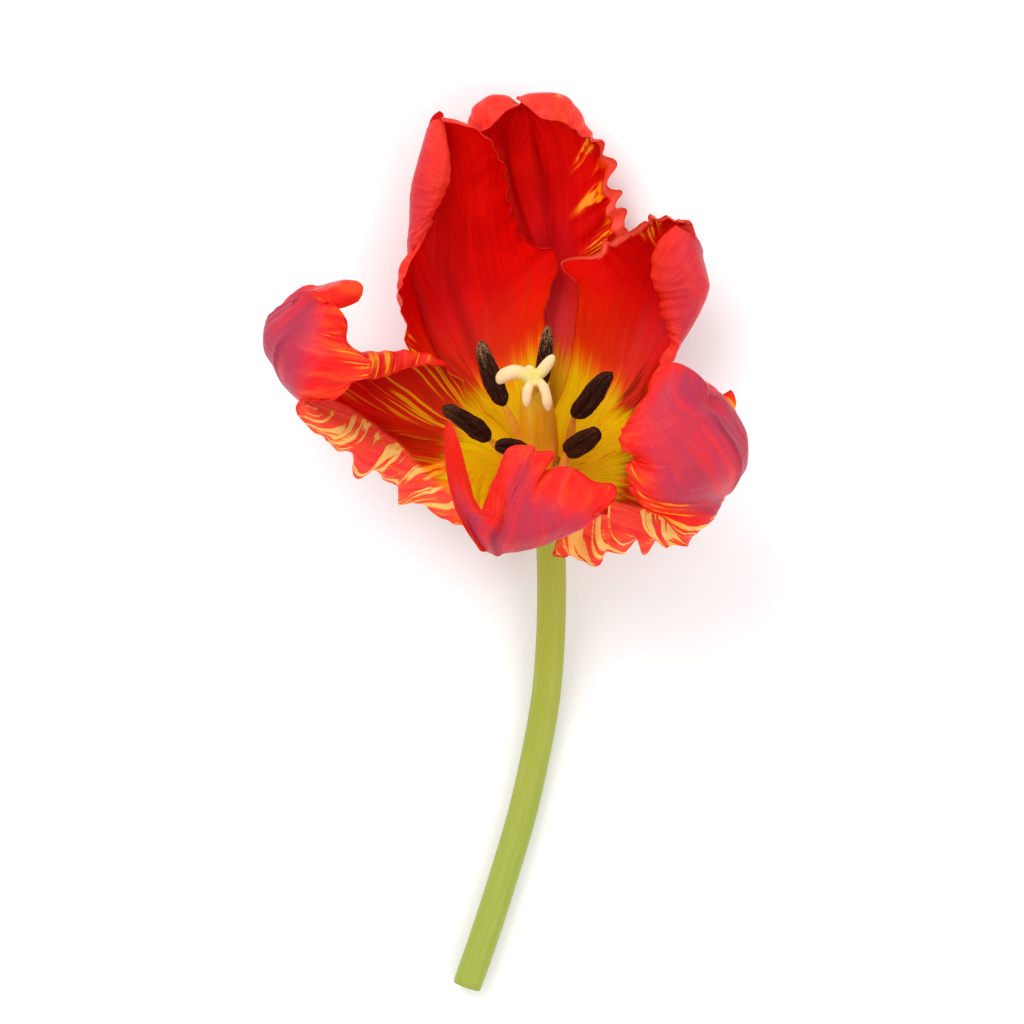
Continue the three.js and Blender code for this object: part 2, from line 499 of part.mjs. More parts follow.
// The points of one rib from the midrib to the margin; side is 1 on the right and -1 on the left.
function rib(petal, half, side, t, frame) {
  const twist = radians(along(petal.twist ?? [0, 0], t));
  const across = new THREE.Vector3().crossVectors(frame.forward, frame.normal);
  const up = frame.normal.clone().multiplyScalar(Math.cos(twist));
  up.addScaledVector(across, Math.sin(twist));
  across.crossVectors(frame.forward, up);

  const turn = radians(Math.min(FIRST_RIB_ANGLE * (1 - t) + 90 * t ** petal.fan, 90));
  const out = across.multiplyScalar(side * Math.cos(turn));
  out.addScaledVector(frame.forward, Math.sin(turn));

  let width = along(half.width, t);
  for (const [where, reach, span] of half.teeth ?? []) {
    width += reach * Math.exp(-(((t - where) / span) ** 2));
  }
  const keel = radians(along(petal.keel, t));
  const cup = radians(along(half.cup, t));
  const curl = radians(along(half.curl, t));
  const from = along(half.from ?? [0.5, 0.5], t);
  const lean = width * along(half.lean ?? [0, 0], t);
  const heading = (share) => keel + cup * share + curl * smoothstep(share, from, 1);

  const points = [];
  let reached = 0;
  let risen = 0;
  for (let j = 0; j <= PETAL_COLUMNS; j++) {
    const share = j / PETAL_COLUMNS;
    if (j > 0) {
      const before = heading((j - 1) / PETAL_COLUMNS);
      const here = heading(share);
      const halfStep = width / PETAL_COLUMNS / 2;
      reached += (Math.cos(before) + Math.cos(here)) * halfStep;
      risen += (Math.sin(before) + Math.sin(here)) * halfStep;
    }
    const point = frame.point.clone().addScaledVector(out, reached).addScaledVector(up, risen);
    point.addScaledVector(frame.forward, lean * share ** 2);
    for (const [vein, where, wide, long, ...way] of petal.pulls ?? []) {
      const far = ((side * share - vein) / wide) ** 2 + ((t - where) / long) ** 2;
      point.addScaledVector(vector(way), Math.exp(-far));
    }
    points.push(point);
  }
  return points;
}

// The middle surface of a petal: rows of points from the left margin to the right margin. The two
// halves of the last row are the same rib, which runs straight on from the midrib to the tip.
function middleSurface(petal) {
  const frames = midribFrames(petal);
  const across = 2 * PETAL_COLUMNS + 1;
  const positions = [];
  for (let i = 0; i <= PETAL_ROWS; i++) {
    const share = i / PETAL_ROWS;
    const t = share * (1 + TIP_CROWDING * (1 - share));
    const frame = frames[Math.round(t * FRAME_STEPS)];
    const right = rib(petal, petal.right, 1, t, frame);
    const left = rib(petal, petal.left, -1, t, frame);
    for (const point of [...left.slice(1).reverse(), ...right]) {
      positions.push(...point.toArray());
    }
  }

  const vertex = (i, j) => {
    const column = i === PETAL_ROWS ? Math.abs(j) : j;
    return i * across + column + PETAL_COLUMNS;
  };
  const index = [];
  for (let i = 0; i < PETAL_ROWS; i++) {
    for (let j = -PETAL_COLUMNS; j < PETAL_COLUMNS; j++) {
      const a = vertex(i, j);
      const b = vertex(i, j + 1);
      const c = vertex(i + 1, j + 1);
      const d = vertex(i + 1, j);
      index.push(a, b, c, a, c, d);
    }
  }
  const surface = new THREE.BufferGeometry();
  surface.setAttribute('position', new THREE.Float32BufferAttribute(positions, 3));
  surface.setIndex(index);
  surface.computeVertexNormals();
  return surface;
}

// The edges that belong to one triangle only.
function openEdges(index) {
  const edges = new Map();
  for (let k = 0; k < index.length; k += 3) {
    for (const [a, b] of [[0, 1], [1, 2], [2, 0]]) {
      edges.set(`${index[k + a]},${index[k + b]}`, [index[k + a], index[k + b]]);
    }
  }
  return [...edges.values()].filter(([a, b]) => !edges.has(`${b},${a}`));
}

// A closed sheet of the given thickness about a surface.
function thicken(surface, thickness) {
  const middle = surface.getAttribute('position');
  const normals = surface.getAttribute('normal');
  const faces = [...surface.getIndex().array];
  const count = middle.count;
  const positions = [];
  for (const side of [1, -1]) {
    for (let v = 0; v < count; v++) {
      const normal = new THREE.Vector3().fromBufferAttribute(normals, v);
      const moved = new THREE.Vector3().fromBufferAttribute(middle, v);
      positions.push(...moved.addScaledVector(normal, (side * thickness) / 2).toArray());
    }
  }
  const index = [...faces];
  for (let k = 0; k < faces.length; k += 3) {
    index.push(faces[k] + count, faces[k + 2] + count, faces[k + 1] + count);
  }
  for (const [a, b] of openEdges(faces)) {
    index.push(b, a, a + count, b, a + count, b + count);
  }
  const sheet = new THREE.BufferGeometry();
  sheet.setAttribute('position', new THREE.Float32BufferAttribute(positions, 3));
  sheet.setIndex(index);
  return sheet;
}

function petalMesh(name, petal) {
  const sheet = thicken(middleSurface(petal), PETAL_THICKNESS);
  sheet.computeVertexNormals();
  const mesh = named(name, sheet, matter(PETAL_RED, 0.5));
  mesh.position.copy(RECEPTACLE);
  return mesh;
}

// ---------------------------------------------------------------------------------------------
// Stem, with the receptacle that it swells into
// ---------------------------------------------------------------------------------------------

function stemMesh() {
  const line = new THREE.CatmullRomCurve3(STEM_LINE.map(vector));
  const stalk = new THREE.ExtrudeGeometry(disc(STEM_RADIUS), {
    extrudePath: line,
    steps: STEM_STEPS,
    curveSegments: STEM_SIDES / 2,
  });
  const swelling = turned(RECEPTACLE_OUTLINE, STEM_SIDES);
  const place = point(new THREE.Object3D(), BLOOM_AXIS);
  place.position.copy(RECEPTACLE);
  place.updateMatrix();
  swelling.applyMatrix4(place.matrix);
  return named('stem', join([stalk, swelling]), matter(STEM_GREEN, 0.45));
}

// ---------------------------------------------------------------------------------------------
// Stamens
// ---------------------------------------------------------------------------------------------

function filamentGeometry(length) {
  const outline = [
    [0, 0],
    [FILAMENT_ROOT_RADIUS, 0],
    [FILAMENT_RADIUS, length / 2],
    [FILAMENT_TIP_RADIUS, length - FILAMENT_TIP_LENGTH],
    [0, length],
  ];
  return turned(outline, FILAMENT_SIDES);
}

// An anther: a long pod with a groove down the front and down the back.
function antherGeometry(length, radius) {
  const outline = ANTHER_OUTLINE.map(([r, y]) => [r * radius, y * length]);
  return lobed(turned(outline, ANTHER_SIDES), (angle) => 1 - ANTHER_GROOVE * Math.cos(angle) ** 4);
}

function stamenMeshes(place, { foot, top, girth }) {
  const start = vector(foot);
  const pod = antherGeometry(start.distanceTo(vector(top)), ANTHER_RADIUS * girth);
  const direction = vector(top).sub(start).normalize();
  const anther = named(`anther_${place}`, pod, matter(ANTHER_BROWN, 0.85));
  point(anther, direction).position.copy(RECEPTACLE).add(start);

  const root = start.clone().projectOnPlane(BLOOM_AXIS).setLength(FILAMENT_RING);
  root.addScaledVector(BLOOM_AXIS, FILAMENT_RISE);
  const span = start.clone().addScaledVector(direction, -GAP).sub(root);
  const thread = filamentGeometry(span.length());
  const filament = named(`filament_${place}`, thread, matter(FILAMENT_ORANGE, 0.5));
  point(filament, span).position.copy(RECEPTACLE).add(root);
  return [anther, filament];
}

// ---------------------------------------------------------------------------------------------
// Pistil: the ovary with the stigma on it
// ---------------------------------------------------------------------------------------------

function ovaryGeometry() {
  return lobed(turned(OVARY_OUTLINE, OVARY_SIDES), (angle) => 1 + OVARY_SWELL * Math.cos(3 * angle));
}

// One finger of the stigma, along its line, with a round end.
function fingerGeometries({ radius, line }) {
  const top = new THREE.Vector3(0, OVARY_HEIGHT, 0);
  const path = new THREE.CatmullRomCurve3(line.map((place) => vector(place).add(top)));
  const finger = new THREE.ExtrudeGeometry(disc(radius), {
    extrudePath: path,
    steps: STIGMA_STEPS,
    curveSegments: STIGMA_SIDES / 2,
  });
  const end = new THREE.SphereGeometry(radius, STIGMA_SIDES, STIGMA_SIDES / 2);
  end.translate(...path.getPoint(1).toArray());
  return [finger, end];
}

function pistilMesh() {
  const body = join([ovaryGeometry(), ...STIGMA_FINGERS.flatMap(fingerGeometries)]);
  const pistil = named('pistil', body, matter(PISTIL_YELLOW, 0.4));
  pistil.position.copy(RECEPTACLE).addScaledVector(BLOOM_AXIS, RECEPTACLE_CROWN + GAP);
  pistil.position.x += PISTIL_ASIDE;
  return point(pistil, BLOOM_AXIS);
}

// ---------------------------------------------------------------------------------------------
// The whole flower
// ---------------------------------------------------------------------------------------------

const flower = new THREE.Group();
flower.add(stemMesh(), pistilMesh());
for (const [name, petal] of Object.entries(PETALS)) {
  flower.add(petalMesh(name, petal));
}
for (const [place, stamen] of Object.entries(STAMENS)) {
  flower.add(...stamenMeshes(place, stamen));
}
flower.position.copy(FOOTPRINT_CENTRE).negate();

const tulip = new THREE.Group();
tulip.add(flower);

export default tulip;
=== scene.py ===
"""Parrot tulip: the looks of one cut flower lying on its side.

Shapes are given in millimetres and made in metres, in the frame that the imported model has: +Y runs
from the cut end of the stem to the bloom and +Z is up from the surface that the flower lies on.
"""

import bpy
import numpy as np
from bpy.props import FloatProperty, FloatVectorProperty, IntProperty, PointerProperty
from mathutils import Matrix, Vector


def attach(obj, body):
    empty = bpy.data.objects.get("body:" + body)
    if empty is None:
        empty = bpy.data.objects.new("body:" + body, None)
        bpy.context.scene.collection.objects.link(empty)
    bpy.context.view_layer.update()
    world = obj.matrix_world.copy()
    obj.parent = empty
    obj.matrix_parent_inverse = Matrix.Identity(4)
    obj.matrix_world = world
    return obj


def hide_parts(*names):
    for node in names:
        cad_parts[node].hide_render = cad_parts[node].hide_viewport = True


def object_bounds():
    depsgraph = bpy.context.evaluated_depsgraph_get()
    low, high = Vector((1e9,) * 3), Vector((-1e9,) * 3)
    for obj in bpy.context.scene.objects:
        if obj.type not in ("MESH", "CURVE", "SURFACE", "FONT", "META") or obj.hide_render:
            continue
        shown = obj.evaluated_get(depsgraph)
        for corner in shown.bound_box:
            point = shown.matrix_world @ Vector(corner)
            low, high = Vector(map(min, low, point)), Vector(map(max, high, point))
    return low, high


bl_info = {
    "name": "Parrot Tulip",
    "version": (1, 0, 0),
    "blender": (4, 5, 0),
    "location": "3D View > Sidebar > Tulip",
    "description": "Builds a cut parrot tulip: petals, stamens, pistil and stem",
    "category": "Add Mesh",
}

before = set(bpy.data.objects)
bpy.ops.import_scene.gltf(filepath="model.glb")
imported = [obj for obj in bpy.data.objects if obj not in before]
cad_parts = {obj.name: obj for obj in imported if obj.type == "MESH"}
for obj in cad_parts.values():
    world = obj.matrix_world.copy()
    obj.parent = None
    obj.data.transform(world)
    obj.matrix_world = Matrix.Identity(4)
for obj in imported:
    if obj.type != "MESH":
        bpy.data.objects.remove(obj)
CAD_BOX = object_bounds()

MM = 0.001
FOOTPRINT = np.array([-1.46, -6.44, 0.0])
RECEPTACLE = np.array([7.2, 6.8, 20.0]) - FOOTPRINT
BLOOM_AXIS = np.array([-0.09, 0.76, 0.64]) / np.linalg.norm([-0.09, 0.76, 0.64])
PLACES = ("upper_left", "upper", "upper_right", "right", "front", "left")

# Petals. Every list holds evenly spaced stations from the base to the tip.
#   path   the midrib, in millimetres from the receptacle
#   twist  degrees that the sheet turns about the midrib
#   keel   degrees that both halves rise at the midrib
#   fan    how late the ribs turn forward: the higher, the nearer to the tip
#   pulls  places drawn aside: the spans of vein and of place along the midrib, and with them the
#          rows (vein, where along the midrib, x, y and sometimes z, in millimetres)
#   creases (vein and place of both ends, depth and half width in millimetres): folds pressed in, darkened
#       with painted shade
#   rose   how strongly the rose stripe along the midrib shows inside
#   mauve  how strongly the mauve shows outside
# and for each half, from the midrib to the margin:
#   base   how far the yellow base reaches, in millimetres
#   fringe how dark the feathery edge of the yellow base is
#   stripes how strongly the long yellow stripes show inside
#   slant  how far the flames lean towards the base: 0 is square to the margin
#   width  the length of the rib, in millimetres
#   cup    degrees that the rib bends inwards, evenly
#   curl   more degrees, near the margin only; negative where the margin is turned outwards
#   start  the share of the rib at which the curl starts
#   turned the share of the rib from which a margin that is turned out looks coral
#   lean   the share of its width that the margin is swept forward
#   teeth  (where along the midrib, millimetres of reach, half the span along the midrib)
#   ragged how deep the margin is torn, in millimetres
#   frill  how far the margin waves up and down, in millimetres
#   flame  how much of the margin is flamed with yellow
#   hem    how wide a pink hem lies between the margin and its flames, in millimetres
# A petal may have no twist, and a half no slant, turned, lean, teeth, stripes, flame or hem.
PETALS = {
    "petal_upper": {
        "path": (
            (0, 3.2, -3.8), (0.8, 11, -11.3), (1.4, 23, -17.0), (1.4, 36, -19.2),
            (0.4, 48.5, -19.0), (-1.2, 60.5, -16.8), (-3.4, 70, -12),
        ),
        "twist": (0, 2, 3, 3, 0), "keel": (0, 0, 0, 4, 8), "fan": 3.2,
        "pulls": (
            ((0.35, 0.07), ((-1, 0.67, 0, 0, -0.5),)),
            ((0.5, 0.05), ((1, 0, 0.9, -0.7),)),
            ((0.35, 0.06), (
                (-0.65, 0.92, 0.6, 3.1), (-0.65, 0.84, -0.1, 0.7), (0.65, 0.88, -1.7, 0.9),
                (0.6, 0.96, 0.1, 1.9), (-1, 0.95, -0.5, -0.7), (-1, 0.9, 0.4, -0.6),
                (-1, 0.85, -0.3, -0.3), (-1, 0.8, 0.2, 1.7), (0, 1, 0, 0.5), (1, 1, -1.4, 1.3),
                (1, 0.95, 0.4, -1.5), (1, 0.9, -0.8, -1.6), (1, 0.85, 0.8, 1.5),
                (1, 0.8, -1.2, -2.4), (1, 0.75, 1.4, 4.2), (1, 0.7, -0.4, -0.9),
                (1, 0.65, -0.4, -0.1), (1, 0.6, -0.4, 1.7), (1, 0.5, 0, -0.1), (-1, 0.7, 0, -0.1),
                (-0.65, 0.85, -0.1, 0.7), (0.6, 0.95, -0.1, 1.3), (0, 0.95, 0, -0.1),
            )),
        ),
        "creases": ((0.02, 0.6, 0, 0.98, 0.6, 2.4), (-0.3, 0.6, -0.4, 0.85, 0.3, 1.5)),
        "rose": 0.6, "mauve": 0.35,
        "left": {
            "base": 26, "fringe": (0.1, 0.1),
            "width": (2.1, 8.5, 10.5, 11, 12, 13.5, 22, 24.5, 9),
            "cup": (10, 10, 6, 6, 20), "curl": (0, 0, 0, 0, 0, 10, 60, 140, 20),
            "start": (0.5, 0.5, 0.65),
            "ragged": (0, 0, 0.2, 0.5, 0.5, 0.4), "frill": (0, 0, 0, 0.2, 0.3, 0.2),
        },
        "right": {
            "base": 26, "fringe": (0.1, 0.1),
            "width": (2.1, 8.5, 11, 12, 15, 18, 20, 25, 9),
            "cup": (10, 15, 10, 15, 20), "curl": (0, 0, 0, 0, 0, 25, 70, 140, 20),
            "start": (0.5, 0.5, 0.65),
            "ragged": (0, 0, 0.5, 1.3, 1.4, 0.8, 0.4), "frill": (0, 0, 0.3, 1.4, 1.4, 0.3, 0.2),
            "flame": (0, 0, 0.3, 0.6, 0.62, 0.5, 0), "hem": 3.6,
        },
    },
    "petal_upper_left": {
        "path": (
            (-3.1, 2.85, -2.75), (-9.6, 12.5, -9.9), (-16.6, 23.5, -16.6),
            (-22, 36.5, -19.3), (-25, 49.6, -17.6), (-25, 66, -10),
        ),
        "keel": (0, 6, 10, 15), "fan": 4,
        "pulls": (
            ((0.35, 0.06), (
                (-1, 1, 0.5, 4.2), (1, 0.95, 1, 1.7), (1, 0.9, 1.2, 1.4), (1, 0.85, -1, 1.1),
                (1, 0.8, 0.9, 1.6), (1, 0.75, -0.7, 0.5), (1, 0.7, -0.3, 0.8),
                (1, 0.65, -1.8, -0.4), (1, 0.6, -0.4, 0.2), (1, 0.55, -1.7, -0.8),
                (1, 0.5, 2.4, 2.7), (1, 0.45, 0.2, -0.4), (1, 0.4, 0, -0.6), (-0.6, 0.5, 0.7, -0.6),
                (-0.6, 0.6, 2.2, -0.5), (-0.6, 0.7, 2, -1.6), (-0.6, 0.8, 1.5, -1.8),
                (-0.6, 0.9, -0.4, -1.6), (-1, 0.95, 1.4, 2.2), (-1, 0.9, 2.2, 2.9),
                (-1, 0.85, 1.9, 3.3), (-1, 0.8, 1.3, 3.7), (-1, 0.75, 0, 3.4), (-1, 0.7, 0.5, 4.1),
                (-1, 0.65, -3, 0.9), (-1, 0.6, -0.6, 0.5), (-1, 0.55, -0.7, 2.3),
                (-1, 0.5, 1.6, 0.5), (-1, 0.45, -0.1, 1.2), (-1, 0.4, 0.4, -0.2),
                (0, 0.75, -0.1, 0.1), (0, 0.55, -0.1, 0),
            )),
        ),
        "creases": ((-0.35, 0.35, -0.3, 0.75, 0.8, 1.3), (0.1, 0.2, 0.15, 0.7, 0.3, 1.5)),
        "rose": 0.12, "mauve": 0.35,
        "left": {
            "base": 21, "fringe": (0.5, 0.5),
            "width": (2.1, 6, 9, 12, 16, 20, 21, 19, 13),
            "cup": (10, 10, 30, 90, 40), "curl": (0, 0, 30, 130, 110), "start": (0.5, 0.45, 0.45),
            "ragged": (0, 0.3, 1.2, 0.5, 0.4, 0.4), "frill": (0, 0.3, 0.5, 0.3, 0.2, 0.1),
            "flame": (0, 0.1, 0.35, 0, 0, 0),
        },
        "right": {
            "base": 21, "fringe": (0.05, 0.05),
            "width": (2.1, 10, 16, 21, 25, 24, 22.5, 22, 13),
            "cup": (25, 43, 45, 37, 40), "curl": (0, 0, 0, 20, 60), "start": (0.5, 0.6, 0.7),
            "ragged": (0, 0, 0.3, 0.4, 0.7, 0.6), "frill": (0, 0, 0.2, 0.3, 0.5, 0.3),
        },
    },
    "petal_upper_right": {
        "path": (
            (3.5, 3.1, -2), (9, 9.5, -7), (17, 18.5, -11.3),
            (25, 29, -12.2), (30, 39, -9), (30.5, 46, -1.5),
        ),
        "twist": (0, 8, 14, 14, 8), "keel": (0, 6, 10, 15), "fan": 4,
        "creases": ((0.35, 0.3, 0.3, 0.6, 0.5, 1.5),),
        "rose": 0.2, "mauve": 0.5,
        "pulls": (
            ((0.5, 0.09), ((0.9, 0.07, 0, -2.4, -0.2),)),
            ((0.35, 0.06), (
                (-1, 0.6, 1, -0.3), (-1, 0.65, -0.2, 0.2), (-1, 0.7, 2.1, -0.9),
                (-1, 0.75, 1.5, 0.1), (-1, 0.8, 1.5, -0.5), (-1, 0.85, 1.5, 1.7), (-1, 0.9, 3, 0.8),
                (-1, 0.95, 1, 0.6), (1, 1, 1.9, 4.4), (1, 0.95, -3.7, 2.4), (1, 0.9, -1.8, 2.6),
                (1, 0.85, -3.7, 1.2), (1, 0.8, -1.7, -0.2), (1, 0.75, -1.8, -0.4),
                (1, 0.7, -1.9, -0.3), (1, 0.65, 0.5, -0.5), (1, 0.6, 0.2, 0.3),
                (1, 0.55, 1.6, -0.6), (-1, 0.5, -0.1, 0),
            )),
            ((0.35, 0.07), (
                (0.45, 0.78, -0.4, 0), (0.45, 0.7, -1.4, 0), (0.5, 0.62, -2.4, 0),
                (0.5, 0.54, -3.1, 0), (0.5, 0.46, -3.4, 0), (0.6, 0.38, -1.7, 0), (0, 0.6, -0.5, 0),
                (0, 0.7, -0.1, 0), (-0.3, 0.98, 0.4, -1.5), (1, 0.5, 0.6, 0), (1, 0.6, 0.4, 0),
                (1, 0.7, 0.2, 0), (0, 0.4, 0.3, 0),
            )),
            ((0.3, 0.03), ((-1, 0.53, -5, 1.5, 1), (-1, 0.47, 0.1, 0),)),
        ),
        "left": {
            "base": 19.5, "fringe": (0.1, 0.1),
            "width": (2.1, 8, 11, 16, 22, 24, 22, 17, 12),
            "cup": (25, 35, 30, 30, 20), "curl": (0, 0, 0, 10, 10), "start": (0.5, 0.6, 0.7),
            "ragged": (0, 0, 0.4, 1, 1.5, 1.5), "frill": (0, 0, 0.2, 0.4, 0.5, 0.4),
            "flame": (0, 0, 0, 0, 0, 0, 0, 0.2, 0.5, 0, 0), "hem": 1.6,
        },
        "right": {
            "base": 18, "fringe": (1, 1),
            "width": (2.1, 11, 15, 18, 21, 21, 13),
            "cup": (10, 35, 70, 110, 60), "curl": (0, 0, 90, 130, 120), "start": (0.5, 0.4, 0.3, 0.4),
            "ragged": (0, 0, 0.4, 0.7, 1.0, 1.2), "frill": (0, 0, 0.1, 0.2, 0.25, 0.3),
            "flame": (0, 0, 0, 0, 0, 0.1),
        },
    },
    "petal_left": {
        "path": (
            (-4.9, 1.4, -0.5), (-14, 6.5, -2.5), (-27, 10, -4), (-39, 14, -1),
            (-49.5, 19.5, 6), (-54, 27, 15), (-49.5, 34.5, 23),
        ),
        "twist": (0, -10, -8, 0), "keel": (0, 5, 5), "fan": 4,
        "creases": (
            (0, 0.6, 0.3, 0.95, 0.6, 1.2), (-0.3, 0.6, -0.4, 0.85, 0.3, 1), (-0.2, 0.3, -0.2, 0.55, 0, 3),
        ),
        "rose": 0, "mauve": 1,
        "pulls": (
            ((0.35, 0.06), (
                (-1, 0.9, 0.4, -0.2), (-1, 0.85, 0.1, -0.9), (-1, 0.8, 2.1, -1.5),
                (-1, 0.75, 0.8, -2.4), (-1, 0.7, 2.3, -2.8), (-1, 0.65, -2.8, 4.2),
                (-1, 0.6, 2.7, 2.2), (-1, 0.55, -1.5, 2.4), (-1, 0.5, 1.2, -0.7),
                (-1, 0.45, -0.1, 3.2), (-1, 0.4, -0.7, -3.1), (-1, 0.35, 1.1, 3.9),
                (-1, 0.3, 0, 0.6), (-1, 0.25, -0.7, 1.5), (-1, 0.2, 0.7, 1.6), (-1, 0.15, 1.7, 0.5),
                (-1, 0.1, 4.7, -1.5), (-1, 0.05, -1.4, -4.9), (0, 0.8, -1.9, 0), (0, 0.88, -1.6, 0),
                (0, 0.7, -0.4, 0), (0.6, 0.97, 2.2, 0), (0.75, 0.58, -0.3, -2.1),
                (0.75, 0.51, 0.1, -1.8), (0.8, 0.44, 0, 0.5), (0.85, 0.37, 1.1, 2.4),
                (0.9, 0.3, 1.6, 2.9), (0.9, 0.23, 0.6, 1.1), (0.9, 0.16, -0.2, -0.3),
                (0.8, 0.97, 2.2, 0.4), (0.8, 0.9, 0.6, -0.1), (-0.5, 0.97, 0.6, 0),
            )),
            ((0.3, 0.04), (
                (-1, 0.75, 0.3, 1.6), (-1, 0.8, 2.7, -1.7), (-1, 0.85, 4, -1), (-1, 0.9, -1.1, -1),
                (-1, 0.95, -0.3, -0.3), (-1, 1, -2.3, -3.4), (1, 1, -3.9, -3.9),
                (-0.6, 1, -1, -1.9), (0.6, 1, -3.6, -2.3), (0.6, 0.95, 1.3, 0.8),
                (1, 0.95, 1.5, 0.3), (0.6, 0.9, 1, 0.4), (1, 0.5, 0, -1.7, 0.2),
                (1, 0.45, 0, -1.2, 0.2), (1, 0.55, 0, -2.2, 0.3), (1, 0.4, 0, -0.2),
                (-1, 0.65, 0, 0.1), (-1, 0.7, -0.1, -0.3), (0, 1, 0.1, 0.1), (1, 0.6, 0, 0.5, -0.1),
                (0.6, 0.5, 0, 0.4), (0.6, 0.45, 0, 0.2),
            )),
        ),
        "left": {
            "slant": 1.2, "turned": (0.8, 0.8, 0.65, 0.45, 0.22, 0.05, 0.03, 0, 0, 0, 0),
            "stripes": (0, 0.3, 0.35, 0.15, 0, 0, 0),
            "base": 15.5, "fringe": (0.5, 0.5),
            "width": (2.1, 21, 23, 19, 16, 17, 24, 20, 13),
            "cup": (20, 50, 60, 60, 60), "curl": (0, -90, -150, -170, -140, 40, 60, 60),
            "start": (0.35, 0.35, 0.35, 0.45),
            "ragged": (0, 1.2, 1.8, 1.8, 1.2, 0.2, 0.2, 0.3, 0.3),
            "frill": (0, 0.8, 1.2, 1.2, 0.8, 0.1, 0.1, 0.2, 0.2),
            "flame": (0, 0.9, 1, 1, 1, 0.3, 0, 0.45, 0),
        },
        "right": {
            "stripes": (0, 0.4, 0.85, 0.7, 0.25, 0, 0, 0),
            "base": 16, "fringe": (0.5, 0.5),
            "width": (2.1, 7.5, 15, 21, 22, 19, 13),
            "cup": (30, 60, 60, 60, 60), "curl": (0, 30, 130, 160, 120, 60),
            "start": (0.5, 0.5, 0.5),
            "ragged": (0, 0.4, 0.4, 0.4, 0.3, 0.3), "frill": (0, 0.3, 0.5, 0.5, 0.4, 0.3),
            "flame": (0, 0, 0, 0.4, 0.5, 0.2, 0, 0),
        },
    },
    "petal_right": {
        "path": (
            (4.2, -0.4, 2.9), (12, -1.5, 6), (23, -3.5, 10.5), (33, -3, 16),
            (38.5, 2.5, 25), (37.5, 11, 32), (31, 18, 36),
        ),
        "keel": (0, 5, 5), "fan": 4,
        "pulls": (
            ((0.3, 0.02), ((-1, 0.55, 3.4, -0.4),)),
            ((0.2, 0.014), ((-1, 0.6, 3.0, 1.0),)),
            ((0.25, 0.09), ((-0.8, 0.9, -0.5, -0.9),)),
            ((0.3, 0.05), ((0.65, 0.47, 2.9, -1.6),)),
            ((0.3, 0.03), ((1, 0.98, -1.5, -0.3),)),
            ((0.5, 0.06), ((0.8, 0.1, 0, 0, -2.5),)),
            ((0.35, 0.06), (
                (-0.4, 0.95, -2.1, -1.9), (0, 0.92, -2.1, -0.6), (0, 0.8, -1.5, 0),
                (0, 0.5, 0.5, 0), (0.4, 0.5, 2, 0), (1, 0.95, 1, -0.2), (1, 0.9, -1.3, 0.8),
                (1, 0.85, -1.1, -1.2), (1, 0.8, -0.5, -1.8), (1, 0.75, -1.7, -2.2),
                (1, 0.7, 3.9, -1.7), (1, 0.65, -4, -1.8), (1, 0.6, 2, -3.6), (1, 0.55, -5.5, 0),
                (1, 0.5, 2.4, -1), (1, 0.45, -3.1, 1.8), (1, 0.4, -0.7, 1.4), (1, 0.35, -1.4, 0.4),
                (1, 0.3, 0.5, 0), (1, 0.25, 0.1, 1.3), (1, 0.2, -0.5, 0.2), (1, 0.15, -0.1, -8.2),
                (1, 0.1, -6, 8.6), (1, 0.05, 2.9, -8.5),
            )),
            ((0.35, 0.07), (
                (-0.6, 0.5, -0.7, -0.5), (-0.6, 0.58, -1.6, -1), (-0.6, 0.66, -1.9, -1.4),
                (-0.6, 0.74, -2.2, -1.7), (-0.6, 0.83, -2, -1.7), (-0.5, 0.92, -0.7, -1.1),
                (0, 0.8, -0.5, 0.2), (0, 0.88, -1.3, -0.4), (-1, 0.6, -0.3, -0.1),
                (-1, 0.75, -0.2, 0.1), (0, 0.5, 0.1, 0), (0, 0.6, 0.1, 0.1), (0, 0.7, 0.2, 0.1),
            )),
        ),
        "creases": ((0.05, 0.5, 0.2, 0.85, 0.5, 0.9),),
        "rose": 0, "mauve": 0.85,
        "left": {
            "base": 11.5, "fringe": (0.9, 0.9),
            "width": (2.1, 9, 15, 19, 19, 17, 13),
            "cup": (30, 50, 50, 60, 60), "curl": (0, 30, 40, 50, 60), "start": (0.5, 0.45),
            "ragged": (0, 0.3, 0.5, 1, 0.8, 0.5), "frill": (0, 0.3, 0.6, 0.8, 0.5, 0.3),
            "flame": (0, 0, 0, 0, 0, 0, 1, 0.5, 0, 0, 0, 0),
        },
        "right": {
            "slant": 1.3,
            "stripes": (0, 0.2, 0.3, 0.1, 0, 0, 0, 0),
            "base": 12, "fringe": (1, 1),
            "width": (2.1, 12, 18, 19, 19, 31, 32, 25, 13),
            "cup": (10, 30, 50, 70, 60), "curl": (0, -90, -150, -130, 40, 60, 60, 60),
            "start": (0.35, 0.35, 0.35, 0.45), "teeth": ((0.1, 10, 0.035),),
            "ragged": (0, 1.6, 2, 1.8, 1.0, 0.6, 0.5, 0.4), "frill": (0, 1.0, 1.3, 0.8, 0.2, 0.2, 0.2, 0.2),
            "flame": (1, 1, 0.75, 1, 0.6, 0, 0, 0),
        },
    },
    "petal_front": {
        "path": (
            (-1.75, -2.8, 3.75), (-4.2, -7.8, 9), (-7.5, -12.7, 16), (-9.5, -15.3, 23),
            (-9.5, -12, 30.5), (-8, -5.5, 34.5), (-5.5, 0.5, 35.5),
        ),
        "keel": (0, 0), "fan": 4,
        "pulls": (
            ((0.4, 0.03), ((1, 1, 0, -1.4), (-1, 1, 0, -1.4),)),
            ((0.5, 0.08), ((-0.9, 0.13, -0.6, 0, 1), (1, 0.45, 3, 0),)),
            ((0.7, 0.15), ((-1, 0.35, 0, 7),)),
            ((0.35, 0.06), (
                (1, 0.6, 2, -4.4), (1, 0.62, -2.2, 9.5), (1, 0.65, 2, -5.8), (1, 0.7, -1.2, 3.4),
